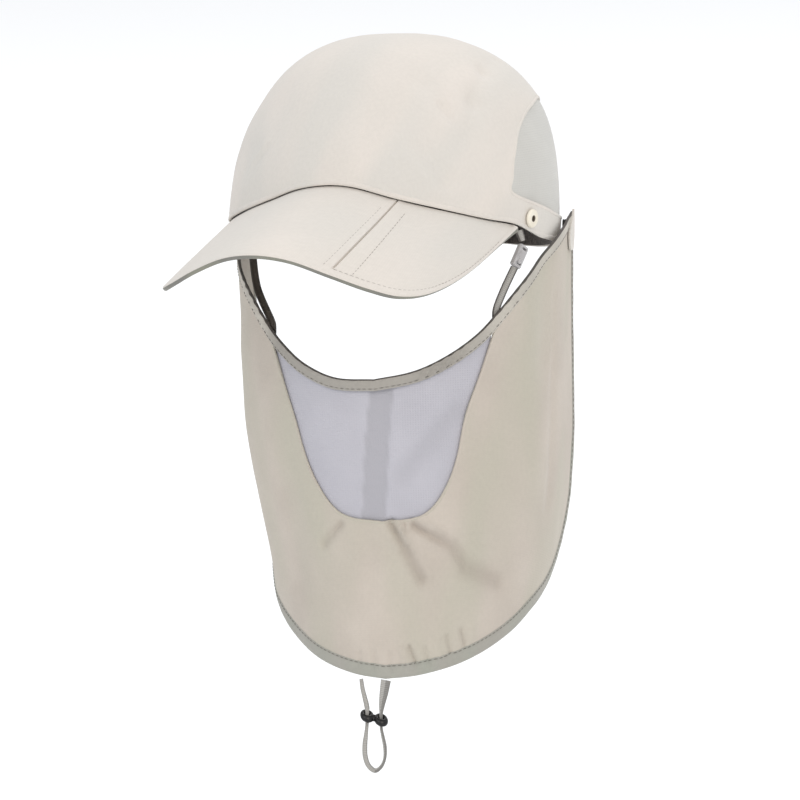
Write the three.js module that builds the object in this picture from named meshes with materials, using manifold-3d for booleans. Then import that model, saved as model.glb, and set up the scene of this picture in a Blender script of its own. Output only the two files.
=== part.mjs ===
// Sun cap with a peak and a face-and-neck flap that hangs from its rim.
// Units are millimetres. +Z is up, the peak points to -Y, and the wearer's left is +X.
// The origin is the centre of the head opening, level with the ends of the peak.
import * as THREE from 'three';
import { mergeVertices } from 'three/addons/utils/BufferGeometryUtils.js';
import Module from 'manifold-3d';

const wasm = await Module();
wasm.setup();

// Driving dimensions
const GAP = 0.3; // between two sewn or fastened pieces

const CROWN = {
  halfWidth: 83,
  halfLength: 100,
  height: 92.5, // above the ends of the peak
  frontRound: 1.95, // exponent of the front's profile, where 2 is an ellipse
  backRound: 2.75,
  wall: 1.4,
  columns: 48,
  rows: 10,
};

// Height of the crown's lower edge, by the angle from the front towards the wearer's left.
const RIM = [
  { angle: -180, z: -22 },
  { angle: -147, z: -22 },
  { angle: -120, z: -17 },
  { angle: -91, z: -10 },
  { angle: -75, z: -5.5 },
  { angle: -62, z: -3 },
  { angle: -45, z: 2.5 },
  { angle: -32, z: 8 },
  { angle: -20, z: 13.5 },
  { angle: -8, z: 19.5 },
  { angle: 4, z: 22 },
  { angle: 14, z: 21 },
  { angle: 28, z: 15.5 },
  { angle: 43, z: 10 },
  { angle: 62, z: 3 },
  { angle: 75, z: -1 },
  { angle: 84, z: -6.2 },
  { angle: 92, z: -10.4 },
  { angle: 120, z: -17 },
  { angle: 147, z: -22 },
  { angle: 180, z: -22 },
];

// Soft dents in the crown: the middle of each, its spread and its depth.
const DENTS = [
  { angle: 54, z: 40, spreadAngle: 9, spreadZ: 18, depth: 1.8 },
  { angle: 66, z: 64, spreadAngle: 8, spreadZ: 10, depth: 1.6 },
  { angle: -48, z: 34, spreadAngle: 8, spreadZ: 9, depth: 1.2 },
];

// Outline of the knitted side panel, as seen from the side: y is back from the front, z is up.
const PANEL = [
  { y: -27, z: 14.5 },
  { y: -26.5, z: 24 },
  { y: -22, z: 34 },
  { y: -10, z: 47.5 },
  { y: 10, z: 56.5 },
  { y: 40, z: 60 },
  { y: 66, z: 54 },
  { y: 83, z: 36 },
  { y: 88, z: 12 },
  { y: 88.5, z: -6.5 },
  { y: 60, z: -4.5 },
  { y: 30, z: -1 },
  { y: 5, z: 5 },
];
const PANEL_REACH = { from: 12, to: 110 }; // how far out along X the panel's outline cuts

const SWEATBAND = { above: 0.2, height: 27, wall: 1.2, standOff: 0.6, rows: 3 };

// The peak's free edge, from its centre to an end; share runs along the peak's seam, and left and
// right are the heights on the two sides.
const PEAK_EDGE = [
  { share: 0, x: 0, y: -174, left: -6.8, right: -6.8 },
  { share: 0.15, x: 19, y: -171.5, left: -10.2, right: -10.2 },
  { share: 0.3, x: 38.5, y: -165, left: -18, right: -18 },
  { share: 0.45, x: 55.5, y: -153.5, left: -26, right: -26 },
  { share: 0.6, x: 67.5, y: -139.5, left: -30.5, right: -30.5 },
  { share: 0.75, x: 75, y: -115, left: -29.8, right: -29.8 },
  { share: 0.88, x: 80, y: -79.5, left: -21.5, right: -22.5 },
  { share: 1, x: 83.3, y: -26.5, left: -2.8, right: -8 },
];
const PEAK = { endAngle: 75, thickness: 2.8, bow: 1, tuck: 1.3, below: 0.8, columns: 36, rows: 3 };

// Cross-section of the hanging flap at several heights: a half ellipse in front, and from its ends
// the two sides run straight back by left and right.
const FLAP_SECTIONS = [
  { z: -240, axisY: 30, halfWidth: 64, depth: 98, left: 38, right: 38 },
  { z: -180, axisY: 26, halfWidth: 72.5, depth: 99, left: 38, right: 38 },
  { z: -145, axisY: 22, halfWidth: 78, depth: 100, left: 37, right: 37 },
  { z: -110, axisY: 17, halfWidth: 82, depth: 102, left: 35, right: 36 },
  { z: -75, axisY: 14, halfWidth: 83, depth: 104, left: 31, right: 36 },
  { z: -40, axisY: 12, halfWidth: 84, depth: 104, left: 27, right: 34 },
  { z: 5, axisY: 10, halfWidth: 86, depth: 104, left: 20, right: 27 },
];

// Height of the flap's upper edge on each side of its middle; share runs to the free side edge.
const FLAP_TOP = [
  { share: 0, left: -78.5, right: -78.5 },
  { share: 0.13, left: -74, right: -78 },
  { share: 0.24, left: -66, right: -71.5 },
  { share: 0.34, left: -55.5, right: -61 },
  { share: 0.42, left: -44, right: -50.5 },
  { share: 0.5, left: -32.5, right: -40 },
  { share: 0.6, left: -20.5, right: -30 },
  { share: 0.73, left: -8.5, right: -18 },
  { share: 0.86, left: -2.5, right: -7 },
  { share: 1, left: 0, right: 0.5 },
];

// Height of the flap's lower edge on each side of its middle.
const FLAP_BOTTOM = [
  { share: 0, left: -235.5, right: -235.5 },
  { share: 0.14, left: -233.5, right: -233 },
  { share: 0.32, left: -226.5, right: -224.5 },
  { share: 0.5, left: -215.5, right: -211.5 },
  { share: 0.66, left: -203.5, right: -197 },
  { share: 0.78, left: -193.5, right: -186 },
  { share: 0.87, left: -183.5, right: -176 },
  { share: 0.94, left: -171.5, right: -165 },
  { share: 0.98, left: -160, right: -155 },
  { share: 1, left: -150, right: -146 },
];

// Soft folds in the flap, each a ridge or, below 0, a groove along a line in the cloth: along is from
// the middle to the wearer's left.
const FLAP_FOLDS = [
  { along: 11, z: -164, toAlong: 28, toZ: -186, spread: 6, height: 1.4 },
  { along: 34, z: -168, toAlong: 80, toZ: -187, spread: 8, height: -1.8 },
  { along: 114, z: -25, toAlong: 112, toZ: -70, spread: 12, height: -2 },
  { along: -108, z: -70, toAlong: -100, toZ: -190, spread: 14, height: 1.5 },
];

const FLAP = {
  twist: THREE.MathUtils.degToRad(15), // the flap hangs turned towards the wearer's left
  halfSpan: 180, // along the cloth, from the middle to a side edge
  frontShare: 0.8, // share of that in the half ellipse
  wall: 1,
  columns: 32,
  rows: 8,
};

// Half width of the breathing panel, as a share of the flap's half span.
const VENT = [
  { z: -153, share: 0 },
  { z: -151.5, share: 0.1 },
  { z: -147, share: 0.165 },
  { z: -135, share: 0.222 },
  { z: -120, share: 0.26 },
  { z: -100, share: 0.289 },
  { z: -80, share: 0.335 },
  { z: -50, share: 0.4 },
];
const VENT_GRID = { columns: 12, rows: 11, gap: 0.4, overTop: 12 }; // overTop is cut off by the upper edge

const TOP_BINDING = { width: 6, wall: 2.2, columns: 36, rows: 1 };
const HEM = { width: 7.5, wall: 2.4, bottomSteps: 36, sideSteps: 7, rows: 1 };

const SNAP = { angle: 84, z: 1.2, outer: 4.6, inner: 2.3, height: 2.2, round: 0.8, standOff: 0.4, sides: 18 };
const CORNER = { share: 0.93, postDrop: 5.5, postRadius: 3, postSides: 16, postClear: 0.35 };
const TAB = { share: 0.918, halfShare: 0.064, wall: 1, columns: 7, rows: 2 };
// Upper and lower end of that tab, by the place across it from its front, -1, to its back, 1.
const TAB_OUTLINE = [
  { side: -1, top: -9.5, bottom: -12.5 },
  { side: -0.7, top: -7, bottom: -17.5 },
  { side: -0.3, top: -4, bottom: -19.5 },
  { side: 0.4, top: -0.5, bottom: -19.5 },
  { side: 0.7, top: 1.5, bottom: -18.5 },
  { side: 1, top: -5, bottom: -12.5 },
];

const STRAP = { width: 4, thickness: 1, standOff: 0.5 }; // standOff is from the flap's binding
const HANGER_DROP = 1.7; // from the crown's lower edge to the top of a side strap's loop
const CLIP = {
  width: 6,
  thickness: 3.2,
  length: 13,
  corner: 1.4,
  slotWidth: 3.2,
  slotHeight: 1.4,
  slotInset: 2.2,
};
// Where each side strap leaves the crown and meets the flap's upper edge, and how far its clip's
// top stands off the straight line between them.
const HANGERS = {
  left: { sign: 1, crownAngle: 79, flapShare: 0.415, clipAt: 0.2, outward: 3, back: 5 },
  right: { sign: -1, crownAngle: 84, flapShare: 0.4, clipAt: 0.1, outward: 0, back: 0 },
};

const CORD = { radius: 1.1, sides: 8, steps: 30, along: -6.5 }; // along places it on the lower edge
// The lock's two lobes stand side by side, the left one of the picture higher by rise over their distance.
const LOCK = { halfSpan: 3.65, lobe: 3.65, waist: 3.1, height: 5.6, hole: 1.55, across: -1.45, z: -255.9, sides: 9, rise: 0.27 };

// Helpers for tables, walls and solids

// A smooth curve through one column of a table, which is sorted by its key column.
function read(table, key, value, column) {
  const last = table.length - 1;
  const v = Math.min(Math.max(value, table[0][key]), table[last][key]);
  let i = 0;
  while (i < last - 1 && v > table[i + 1][key]) i += 1;
  const slope = (a, b) => (table[b][column] - table[a][column]) / (table[b][key] - table[a][key]);
  const step = table[i + 1][key] - table[i][key];
  const t = (v - table[i][key]) / step;
  const here = slope(i, i + 1);
  const tangent = (k) => (k === 0 || k === last ? here : slope(k - 1, k + 1));
  const m0 = tangent(i) * step;
  const m1 = tangent(i + 1) * step;
  return THREE.MathUtils.lerp(table[i][column], table[i + 1][column], t)
    + t * (1 - t) * ((1 - t) * (m0 - here * step) - t * (m1 - here * step));
}

// The unit normal of a surface given as a function of (u, v).
function normalOf(surface, u, v) {
  const d = 1e-3;
  const du = surface(u + d, v).sub(surface(u - d, v));
  const dv = surface(u, v + d).sub(surface(u, v - d));
  return du.cross(dv).normalize();
}

function geometryOf(points, triangles) {
  const geometry = new THREE.BufferGeometry();
  geometry.setAttribute('position', new THREE.Float32BufferAttribute(points.flatMap((p) => p.toArray()), 3));
  geometry.setIndex(triangles.flat());
  return geometry;
}

// A closed wall between two grids of points. A wrapped grid joins its last column to its first,
// and a domed one ends in a single point.
function wallBetween(outer, inner, { wrap = false, dome = false } = {}) {
  const columns = outer.length;
  const rows = outer[0].length;
  const points = [...outer.flat(), ...inner.flat()];
  const at = (i, j, side) => side * columns * rows + (i % columns) * rows + j;
  const triangles = [];
  const quad = (a, b, c, d) => triangles.push([a, b, c], [a, c, d]);
  const spans = wrap ? columns : columns - 1;
  for (let i = 0; i < spans; i += 1) {
    for (let j = 0; j < rows - 1; j += 1) {
      quad(at(i, j, 0), at(i + 1, j, 0), at(i + 1, j + 1, 0), at(i, j + 1, 0));
      quad(at(i, j, 1), at(i, j + 1, 1), at(i + 1, j + 1, 1), at(i + 1, j, 1));
    }
    quad(at(i, 0, 0), at(i, 0, 1), at(i + 1, 0, 1), at(i + 1, 0, 0));
    if (!dome) quad(at(i, rows - 1, 0), at(i + 1, rows - 1, 0), at(i + 1, rows - 1, 1), at(i, rows - 1, 1));
  }
  for (let j = 0; !wrap && j < rows - 1; j += 1) {
    const end = columns - 1;
    quad(at(0, j, 0), at(0, j + 1, 0), at(0, j + 1, 1), at(0, j, 1));
    quad(at(end, j, 0), at(end, j, 1), at(end, j + 1, 1), at(end, j + 1, 0));
  }
  return tidied(geometryOf(points, triangles));
}

// The same mesh with shared corners merged and triangles with no area left out.
function tidied(geometry) {
  const bare = geometry.clone();
  bare.deleteAttribute('normal');
  bare.deleteAttribute('uv');
  const merged = mergeVertices(bare, 1e-4);
  const kept = [];
  const index = merged.index.array;
  for (let i = 0; i < index.length; i += 3) {
    const [a, b, c] = [index[i], index[i + 1], index[i + 2]];
    if (a !== b && b !== c && c !== a) kept.push(a, b, c);
  }
  merged.setIndex(kept);
  return merged;
}

// A wall over surface(u, v), with u and v from 0 to 1. near and far are how far its two faces stand
// out along the normal.
function wallOver(surface, columns, rows, near, far, options = {}) {
  const grid = (distance) => Array.from({ length: options.wrap ? columns : columns + 1 }, (_, i) =>
    Array.from({ length: rows + 1 }, (__, j) => {
      const [u, v] = [i / columns, j / rows];
      const topNormal = options.dome && j === rows;
      const normal = topNormal ? new THREE.Vector3(0, 0, 1) : normalOf(surface, u, v);
      return surface(u, v).addScaledVector(normal, distance);
    }));
  return wallBetween(grid(far), grid(near), options);
}

function solid(geometry) {
  const g = tidied(geometry);
  return new wasm.Manifold(new wasm.Mesh({
    numProp: 3,
    vertProperties: new Float32Array(g.attributes.position.array),
    triVerts: new Uint32Array(g.index.array),
  }));
}

function geometryFrom(manifold) {
  const mesh = manifold.getMesh();
  const geometry = new THREE.BufferGeometry();
  geometry.setAttribute('position', new THREE.BufferAttribute(mesh.vertProperties.slice(), mesh.numProp));
  geometry.setIndex(new THREE.BufferAttribute(mesh.triVerts.slice(), 1));
  return geometry;
}

// Crown

// A point of the crown's outer face: angle in degrees from the front towards the wearer's left,
// lift from 0 at the widest level to 1 at the top, and below 0 under that level.
function crownPoint(angle, lift) {
  const a = THREE.MathUtils.degToRad(angle);
  const round = THREE.MathUtils.lerp(CROWN.frontRound, CROWN.backRound, (1 - Math.cos(a)) / 2);
  const turn = lift * Math.PI / 2;
  const z = CROWN.height * Math.sign(turn) * Math.abs(Math.sin(turn)) ** (2 / round);
  const reach = Math.cos(turn) ** (2 / round) * (1 - dentDepth(angle, z) / CROWN.halfWidth);
  return new THREE.Vector3(
    CROWN.halfWidth * Math.sin(a) * reach,
    -CROWN.halfLength * Math.cos(a) * reach,
    z,
  );
}

function dentDepth(angle, z) {
  return DENTS.reduce((depth, d) => depth
    + d.depth * Math.exp(-(((turned(angle) - d.angle) / d.spreadAngle) ** 2) - ((z - d.z) / d.spreadZ) ** 2), 0);
}

// The lift at which the crown's outer face has height z.
function liftAt(angle, z) {
  const a = THREE.MathUtils.degToRad(angle);
  const round = THREE.MathUtils.lerp(CROWN.frontRound, CROWN.backRound, (1 - Math.cos(a)) / 2);
  return Math.sign(z) * Math.asin(Math.abs(z / CROWN.height) ** (round / 2)) / (Math.PI / 2);
}

// The same angle between -180 and 180 degrees.
const turned = (angle) => THREE.MathUtils.euclideanModulo(angle + 180, 360) - 180;
const rimHeight = (angle) => read(RIM, 'angle', turned(angle), 'z');

// The crown between two heights above its rim; the upper one is left out to reach the top.
function crownSurface(above = 0, upTo = null) {
  return (u, v) => {
    const angle = u * 360;
    const low = liftAt(angle, rimHeight(angle) + above);
    const high = upTo === null ? 1 : liftAt(angle, rimHeight(angle) + upTo);
    return crownPoint(angle, THREE.MathUtils.lerp(low, high, v));
  };
}

// Outline of the side panel, moved in by a distance.
function panelOutline(inset) {
  const curve = new THREE.CatmullRomCurve3(PANEL.map((p) => new THREE.Vector3(p.y, p.z, 0)), true, 'centripetal');
  const steps = 3 * PANEL.length;
  return Array.from({ length: steps }, (_, i) => {
    const point = curve.getPoint(i / steps);
    const tangent = curve.getTangent(i / steps);
    return new THREE.Vector2(point.x + tangent.y * inset, point.y - tangent.x * inset);
  });
}

function panelCutter(inset, sign) {
  const shape = new THREE.Shape(panelOutline(inset));
  const depth = PANEL_REACH.to - PANEL_REACH.from;
  const geometry = new THREE.ExtrudeGeometry(shape, { depth, bevelEnabled: false });
  geometry.translate(0, 0, sign > 0 ? PANEL_REACH.from : -PANEL_REACH.to);
  const axes = new THREE.Matrix4().makeBasis(
    new THREE.Vector3(0, 1, 0),
    new THREE.Vector3(0, 0, 1),
    new THREE.Vector3(1, 0, 0),
  );
  return solid(geometry.applyMatrix4(axes));
}

function crownPieces() {
  const dome = { wrap: true, dome: true };
  const wall = solid(wallOver(crownSurface(), CROWN.columns, CROWN.rows, -CROWN.wall, 0, dome));
  const shell = wall.subtract(panelCutter(0, 1)).subtract(panelCutter(0, -1));
  return {
    shell: geometryFrom(shell),
    left: geometryFrom(wall.intersect(panelCutter(GAP, 1))),
    right: geometryFrom(wall.intersect(panelCutter(GAP, -1))),
  };
}

function sweatbandGeometry() {
  const outside = -(CROWN.wall + SWEATBAND.standOff);
  const band = crownSurface(SWEATBAND.above, SWEATBAND.height);
  return wallOver(band, CROWN.columns, SWEATBAND.rows, outside - SWEATBAND.wall, outside, { wrap: true });
}

// Peak

const sideOf = (share) => (share < 0 ? 'right' : 'left');

function peakEdge(share) {
  const at = (column) => read(PEAK_EDGE, 'share', Math.abs(share), column);
  return new THREE.Vector3(Math.sign(share) * at('x'), at('y'), at(sideOf(share)));
}

// The peak's upper face: u runs from its right end to its left end, v from the seam to the edge.
function peakSurface(u, v) {
  const share = 2 * u - 1;
  const angle = share * PEAK.endAngle;
  const lift = liftAt(angle, rimHeight(angle));
  const seam = crownPoint(angle, lift);
  const inward = new THREE.Vector3(-seam.x, -seam.y, 0).normalize();
  seam.addScaledVector(inward, PEAK.tuck).setZ(seam.z - PEAK.below);
  const point = seam.lerp(peakEdge(share), v);
  return point.setZ(point.z + PEAK.bow * Math.sin(Math.PI * v) * (1 - share * share));
}

const peakGeometry = () => wallOver(peakSurface, PEAK.columns, PEAK.rows, 0, PEAK.thickness);

// Flap

// A point of the flap's middle face: along is millimetres of cloth from its middle to the
// wearer's left, and z is the height.
function flapPoint(along, z) {
  const at = (column) => read(FLAP_SECTIONS, 'z', z, column);
  const share = along / FLAP.halfSpan;
  const front = Math.min(Math.abs(share) / FLAP.frontShare, 1) * Math.PI / 2;
  const back = Math.max(Math.abs(share) - FLAP.frontShare, 0) / (1 - FLAP.frontShare);
  const point = new THREE.Vector3(
    Math.sign(share) * at('halfWidth') * Math.sin(front),
    -at('depth') * Math.cos(front) + at(sideOf(share)) * back,
    0,
  );
  point.setLength(point.length() + foldHeight(along, z));
  point.applyAxisAngle(new THREE.Vector3(0, 0, 1), FLAP.twist);
  return point.add(new THREE.Vector3(0, at('axisY'), z));
}

function foldHeight(along, z) {
  const place = new THREE.Vector3(along, z, 0);
  return FLAP_FOLDS.reduce((height, f) => {
    const line = new THREE.Line3(new THREE.Vector3(f.along, f.z, 0), new THREE.Vector3(f.toAlong, f.toZ, 0));
    const nearest = line.closestPointToPoint(place, true, new THREE.Vector3());
    return height + f.height * Math.exp(-((nearest.distanceTo(place) / f.spread) ** 2));
  }, 0);
}

const flapTop = (share) => read(FLAP_TOP, 'share', Math.abs(share), sideOf(share));
const flapBottom = (share) => read(FLAP_BOTTOM, 'share', Math.abs(share), sideOf(share));

// A wall in the flap's cloth: flat(u, v) is a place in the flat cloth, with x along it and y the
// height, and near and far are how far the wall's two faces stand out from the middle face.
function clothWall(flat, columns, rows, near, far) {
  const grid = (distance) => Array.from({ length: columns + 1 }, (_, i) =>
    Array.from({ length: rows + 1 }, (__, j) => {
      const { x, y } = flat(i / columns, j / rows);
      return flapPoint(x, y).addScaledVector(normalOf(flapPoint, x, y), distance);
    }));
  return wallBetween(grid(far), grid(near));
}

// The whole flap, from its lower edge to its upper one.
function wholeFlap(u, v) {
  const share = 2 * u - 1;
  return new THREE.Vector2(
    share * FLAP.halfSpan,
    THREE.MathUtils.lerp(flapBottom(share), flapTop(share), v),
  );
}

// A band along the upper edge, from one depth below it to another.
const topBand = (from, to) => (u, v) => {
  const share = 2 * u - 1;
  return new THREE.Vector2(share * FLAP.halfSpan, flapTop(share) - THREE.MathUtils.lerp(to, from, v));
};

// The free side edges and the lower edge as one run in the flat cloth, from the wearer's right
// corner down, across and up to the left one. It starts and ends below the flap's upper edge.
function hemRun() {
  const run = [];
  const below = TOP_BINDING.width / 2;
  const down = (share, i) => THREE.MathUtils.lerp(
    flapTop(share) - below,
    flapBottom(share),
    i / HEM.sideSteps,
  );
  for (let i = 0; i < HEM.sideSteps; i += 1) run.push(new THREE.Vector2(-FLAP.halfSpan, down(-1, i)));
  for (let i = 0; i <= HEM.bottomSteps; i += 1) {
    const share = -Math.cos(Math.PI * i / HEM.bottomSteps);
    run.push(new THREE.Vector2(share * FLAP.halfSpan, flapBottom(share)));
  }
  for (let i = HEM.sideSteps - 1; i >= 0; i -= 1) run.push(new THREE.Vector2(FLAP.halfSpan, down(1, i)));
  return run;
}

// A band along that run, from one distance inside the flap's edge to another.
function hemWall(from, to, wall) {
  const run = hemRun();
  const last = run.length - 1;
  const inward = run.map((_, i) => {
    const t = run[Math.min(i + 2, last)].clone().sub(run[Math.max(i - 2, 0)]).normalize();
    return new THREE.Vector2(-t.y, t.x);
  });
  const flat = (u, v) => {
    const i = Math.round(u * last);
    return run[i].clone().addScaledVector(inward[i], THREE.MathUtils.lerp(from, to, v));
  };
  return clothWall(flat, last, HEM.rows, -wall / 2, wall / 2);
}

// The left half of the breathing panel's edge, from the tip below up past the flap's upper edge.
function ventEdge(v) {
  const low = VENT[0].z;
  const high = VENT[VENT.length - 1].z + VENT_GRID.overTop;
  const z = THREE.MathUtils.lerp(low, high, Math.max(v, 0) ** 2);
  return new THREE.Vector2(read(VENT, 'z', z, 'share') * FLAP.halfSpan, z);
}

// The breathing panel, grown all round by a margin.
const ventOutline = (margin) => (u, v) => {
  const step = 0.5 / VENT_GRID.rows;
  const along = ventEdge(v + step).sub(ventEdge(v - step)).normalize();
  const edge = ventEdge(v).add(new THREE.Vector2(along.y, -along.x).multiplyScalar(margin));
  return new THREE.Vector2((2 * u - 1) * edge.x, edge.y);
};

function flapPieces() {
  const half = FLAP.wall / 2;
  const past = 5; // how far a cutter stands out of what it cuts
  const above = 50; // and over the flap's upper edge
  const full = solid(clothWall(wholeFlap, FLAP.columns, FLAP.rows, -half, half));
  const ventOf = (margin, reach) => solid(
    clothWall(ventOutline(margin), VENT_GRID.columns, VENT_GRID.rows, -reach, reach),
  );
  const bandCut = solid(
    clothWall(topBand(-above, TOP_BINDING.width + GAP), TOP_BINDING.columns, 1, -past, past),
  );
  const hemCut = solid(hemWall(-past, HEM.width + GAP, 2 * past));
  const { width, wall, columns, rows } = TOP_BINDING;
  return {
    sheet: geometryFrom(full.subtract(bandCut).subtract(hemCut).subtract(ventOf(VENT_GRID.gap, past))),
    vent: geometryFrom(ventOf(0, half).subtract(bandCut)),
    binding: clothWall(topBand(0, width), columns, rows, -wall / 2, wall / 2),
    hem: geometryFrom(solid(hemWall(0, HEM.width, HEM.wall)).subtract(bandCut)),
  };
}

// Fastenings

// Geometry at a place, with its z axis along a direction.
function placed(geometry, at, direction) {
  const turn = new THREE.Quaternion().setFromUnitVectors(new THREE.Vector3(0, 0, 1), direction);
  return { geometry, position: at, quaternion: turn };
}

function crownOut(angle, z) {
  return normalOf(crownPoint, angle, liftAt(angle, z));
}

function ringSnap(sign) {
  const profile = [
    new THREE.Vector2(SNAP.inner, 0),
    new THREE.Vector2(SNAP.outer, 0),
    new THREE.Vector2(SNAP.outer, SNAP.height - SNAP.round),
    new THREE.Vector2(SNAP.outer - SNAP.round, SNAP.height),
    new THREE.Vector2(SNAP.inner + SNAP.round, SNAP.height),
    new THREE.Vector2(SNAP.inner, SNAP.height - SNAP.round),
    new THREE.Vector2(SNAP.inner, 0),
  ];
  const ring = new THREE.LatheGeometry(profile, SNAP.sides).rotateX(Math.PI / 2);
  const angle = sign * SNAP.angle;
  const out = crownOut(angle, SNAP.z);
  const at = crownPoint(angle, liftAt(angle, SNAP.z)).addScaledVector(out, SNAP.standOff);
  return placed(ring, at, out);
}

// The plain post that joins a corner of the flap to the crown. Its ends stand off both faces.
function cornerPost(sign) {
  const share = sign * CORNER.share;
  const z = flapTop(share) - CORNER.postDrop;
  const x = share * FLAP.halfSpan;
  const flapFace = flapPoint(x, z);
  const angle = THREE.MathUtils.radToDeg(
    Math.atan2(flapFace.x / CROWN.halfWidth, -flapFace.y / CROWN.halfLength),
  );
  const base = crownPoint(angle, liftAt(angle, z));
  const along = flapFace.clone().sub(base);
  const between = along.length();
  along.normalize();
  const standOff = (normal) => {
    const tilt = along.angleTo(normal);
    return CORNER.postRadius * Math.tan(tilt) + CORNER.postClear / Math.cos(tilt);
  };
  const start = standOff(crownOut(angle, z));
  const end = between - TOP_BINDING.wall / 2 - standOff(normalOf(flapPoint, x, z));
  const length = end - start;
  const post = new THREE.CylinderGeometry(CORNER.postRadius, CORNER.postRadius, length, CORNER.postSides);
  post.rotateX(Math.PI / 2).translate(0, 0, length / 2);
  return placed(post, base.addScaledVector(along, start), along);
}

// The folded tab on the outer face of a corner of the flap.
function cornerTab(sign) {
  const out = TOP_BINDING.wall / 2 + GAP;
  const outline = (u, v) => {
    const across = 2 * u - 1;
    const side = sign * across;
    return new THREE.Vector2(
      (sign * TAB.share + across * TAB.halfShare) * FLAP.halfSpan,
      THREE.MathUtils.lerp(read(TAB_OUTLINE, 'side', side, 'bottom'), read(TAB_OUTLINE, 'side', side, 'top'), v),
    );
  };
  return clothWall(outline, TAB.columns, TAB.rows, out, out + TAB.wall);
}

// Side straps

// Geometry halfway between two places, with its z axis from one to the other and its x axis along wide.
function aligned(geometry, from, to, wide) {
  const z = to.clone().sub(from).normalize();
  const y = z.clone().cross(wide).normalize();
  const x = y.clone().cross(z);
  const quaternion = new THREE.Quaternion().setFromRotationMatrix(new THREE.Matrix4().makeBasis(x, y, z));
  return { geometry, position: from.clone().lerp(to, 0.5), quaternion };
}

function clipGeometry() {
  const [w, l, r] = [CLIP.width / 2, CLIP.length / 2, CLIP.corner];
  const shape = new THREE.Shape();
  shape.moveTo(-w + r, -l).lineTo(w - r, -l).absarc(w - r, -l + r, r, -Math.PI / 2, 0);
  shape.lineTo(w, l - r).absarc(w - r, l - r, r, 0, Math.PI / 2);
  shape.lineTo(-w + r, l).absarc(-w + r, l - r, r, Math.PI / 2, Math.PI);
  shape.lineTo(-w, -l + r).absarc(-w + r, -l + r, r, Math.PI, 1.5 * Math.PI);
  for (const y of [-l + CLIP.slotInset, l - CLIP.slotInset]) {
    const [sw, sh] = [CLIP.slotWidth / 2, CLIP.slotHeight / 2];
    const slot = new THREE.Path();
    slot.moveTo(-sw, y - sh).lineTo(-sw, y + sh).lineTo(sw, y + sh).lineTo(sw, y - sh).lineTo(-sw, y - sh);
    shape.holes.push(slot);
  }
  const depth = CLIP.thickness;
  const geometry = new THREE.ExtrudeGeometry(shape, { depth, bevelEnabled: false, curveSegments: 3 });
  return geometry.translate(0, 0, -depth / 2).rotateX(Math.PI / 2);
}

// The loop, clip and strap of one side, from the sweatband's lower edge to the flap's binding.
function hangerPieces(side) {
  const { sign, crownAngle, flapShare, clipAt, outward, back } = HANGERS[side];
  const angle = sign * crownAngle;
  const rim = rimHeight(angle);
  const top = crownPoint(angle, liftAt(angle, rim));
  const toSweatband = CROWN.wall + SWEATBAND.standOff + SWEATBAND.wall / 2;
  top.addScaledVector(crownOut(angle, rim), -toSweatband).setZ(rim - HANGER_DROP);
  const share = sign * flapShare;
  const along = share * FLAP.halfSpan;
  const z = flapTop(share);
  const inward = normalOf(flapPoint, along, z).negate();
  const clear = TOP_BINDING.wall / 2 + STRAP.standOff + STRAP.thickness / 2;
  const joint = flapPoint(along, z).addScaledVector(inward, clear);
  const end = flapPoint(along, z - TOP_BINDING.width).addScaledVector(inward, clear);
  const wide = flapPoint(along + 5, z).sub(flapPoint(along - 5, z)).normalize();
  const clipTop = top.clone().lerp(joint, clipAt).add(new THREE.Vector3(sign * outward, back, 0));
  const toJoint = joint.clone().sub(clipTop).normalize();
  const clipEnd = clipTop.clone().addScaledVector(toJoint, CLIP.length);
  const toTop = top.clone().sub(clipTop);
  const lean = Math.PI - toTop.angleTo(toJoint);
  toTop.setLength((GAP + STRAP.width / 2 * Math.sin(lean)) / Math.cos(lean));
  const loopEnd = clipTop.clone().add(toTop);
  const loop = new THREE.BoxGeometry(STRAP.width, STRAP.thickness, top.distanceTo(loopEnd));
  return {
    loop: aligned(loop, top, loopEnd, wide),
    clip: aligned(clipGeometry(), clipTop, clipEnd, wide),
    strap: strapAcross([clipEnd.clone().addScaledVector(toJoint, GAP), joint, end], wide),
  };
}

// A flat strap through three places, of one width and thickness.
function strapAcross(places, wide) {
  const [a, b, c] = places;
  const first = b.clone().sub(a).normalize();
  const second = c.clone().sub(b).normalize();
  const directions = [first, first.clone().add(second).normalize(), second];
  const across = directions.map((d) => wide.clone().addScaledVector(d, -wide.dot(d)).normalize());
  const face = directions.map((d, i) => across[i].clone().cross(d));
  const grid = (distance) => [-1, 1].map((s) => places.map((p, i) => p.clone()
    .addScaledVector(across[i], s * STRAP.width / 2).addScaledVector(face[i], distance)));
  const half = STRAP.thickness / 2;
  return { geometry: wallBetween(grid(half), grid(-half)) };
}

// Drawcord and its lock

// A point under the lower edge: across is from the cord's middle to the wearer's left.
function underHem(across, z) {
  const point = flapPoint(CORD.along, flapBottom(0));
  const left = new THREE.Vector3(Math.cos(FLAP.twist), Math.sin(FLAP.twist), 0);
  return point.addScaledVector(left, across).setZ(z);
}

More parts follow.
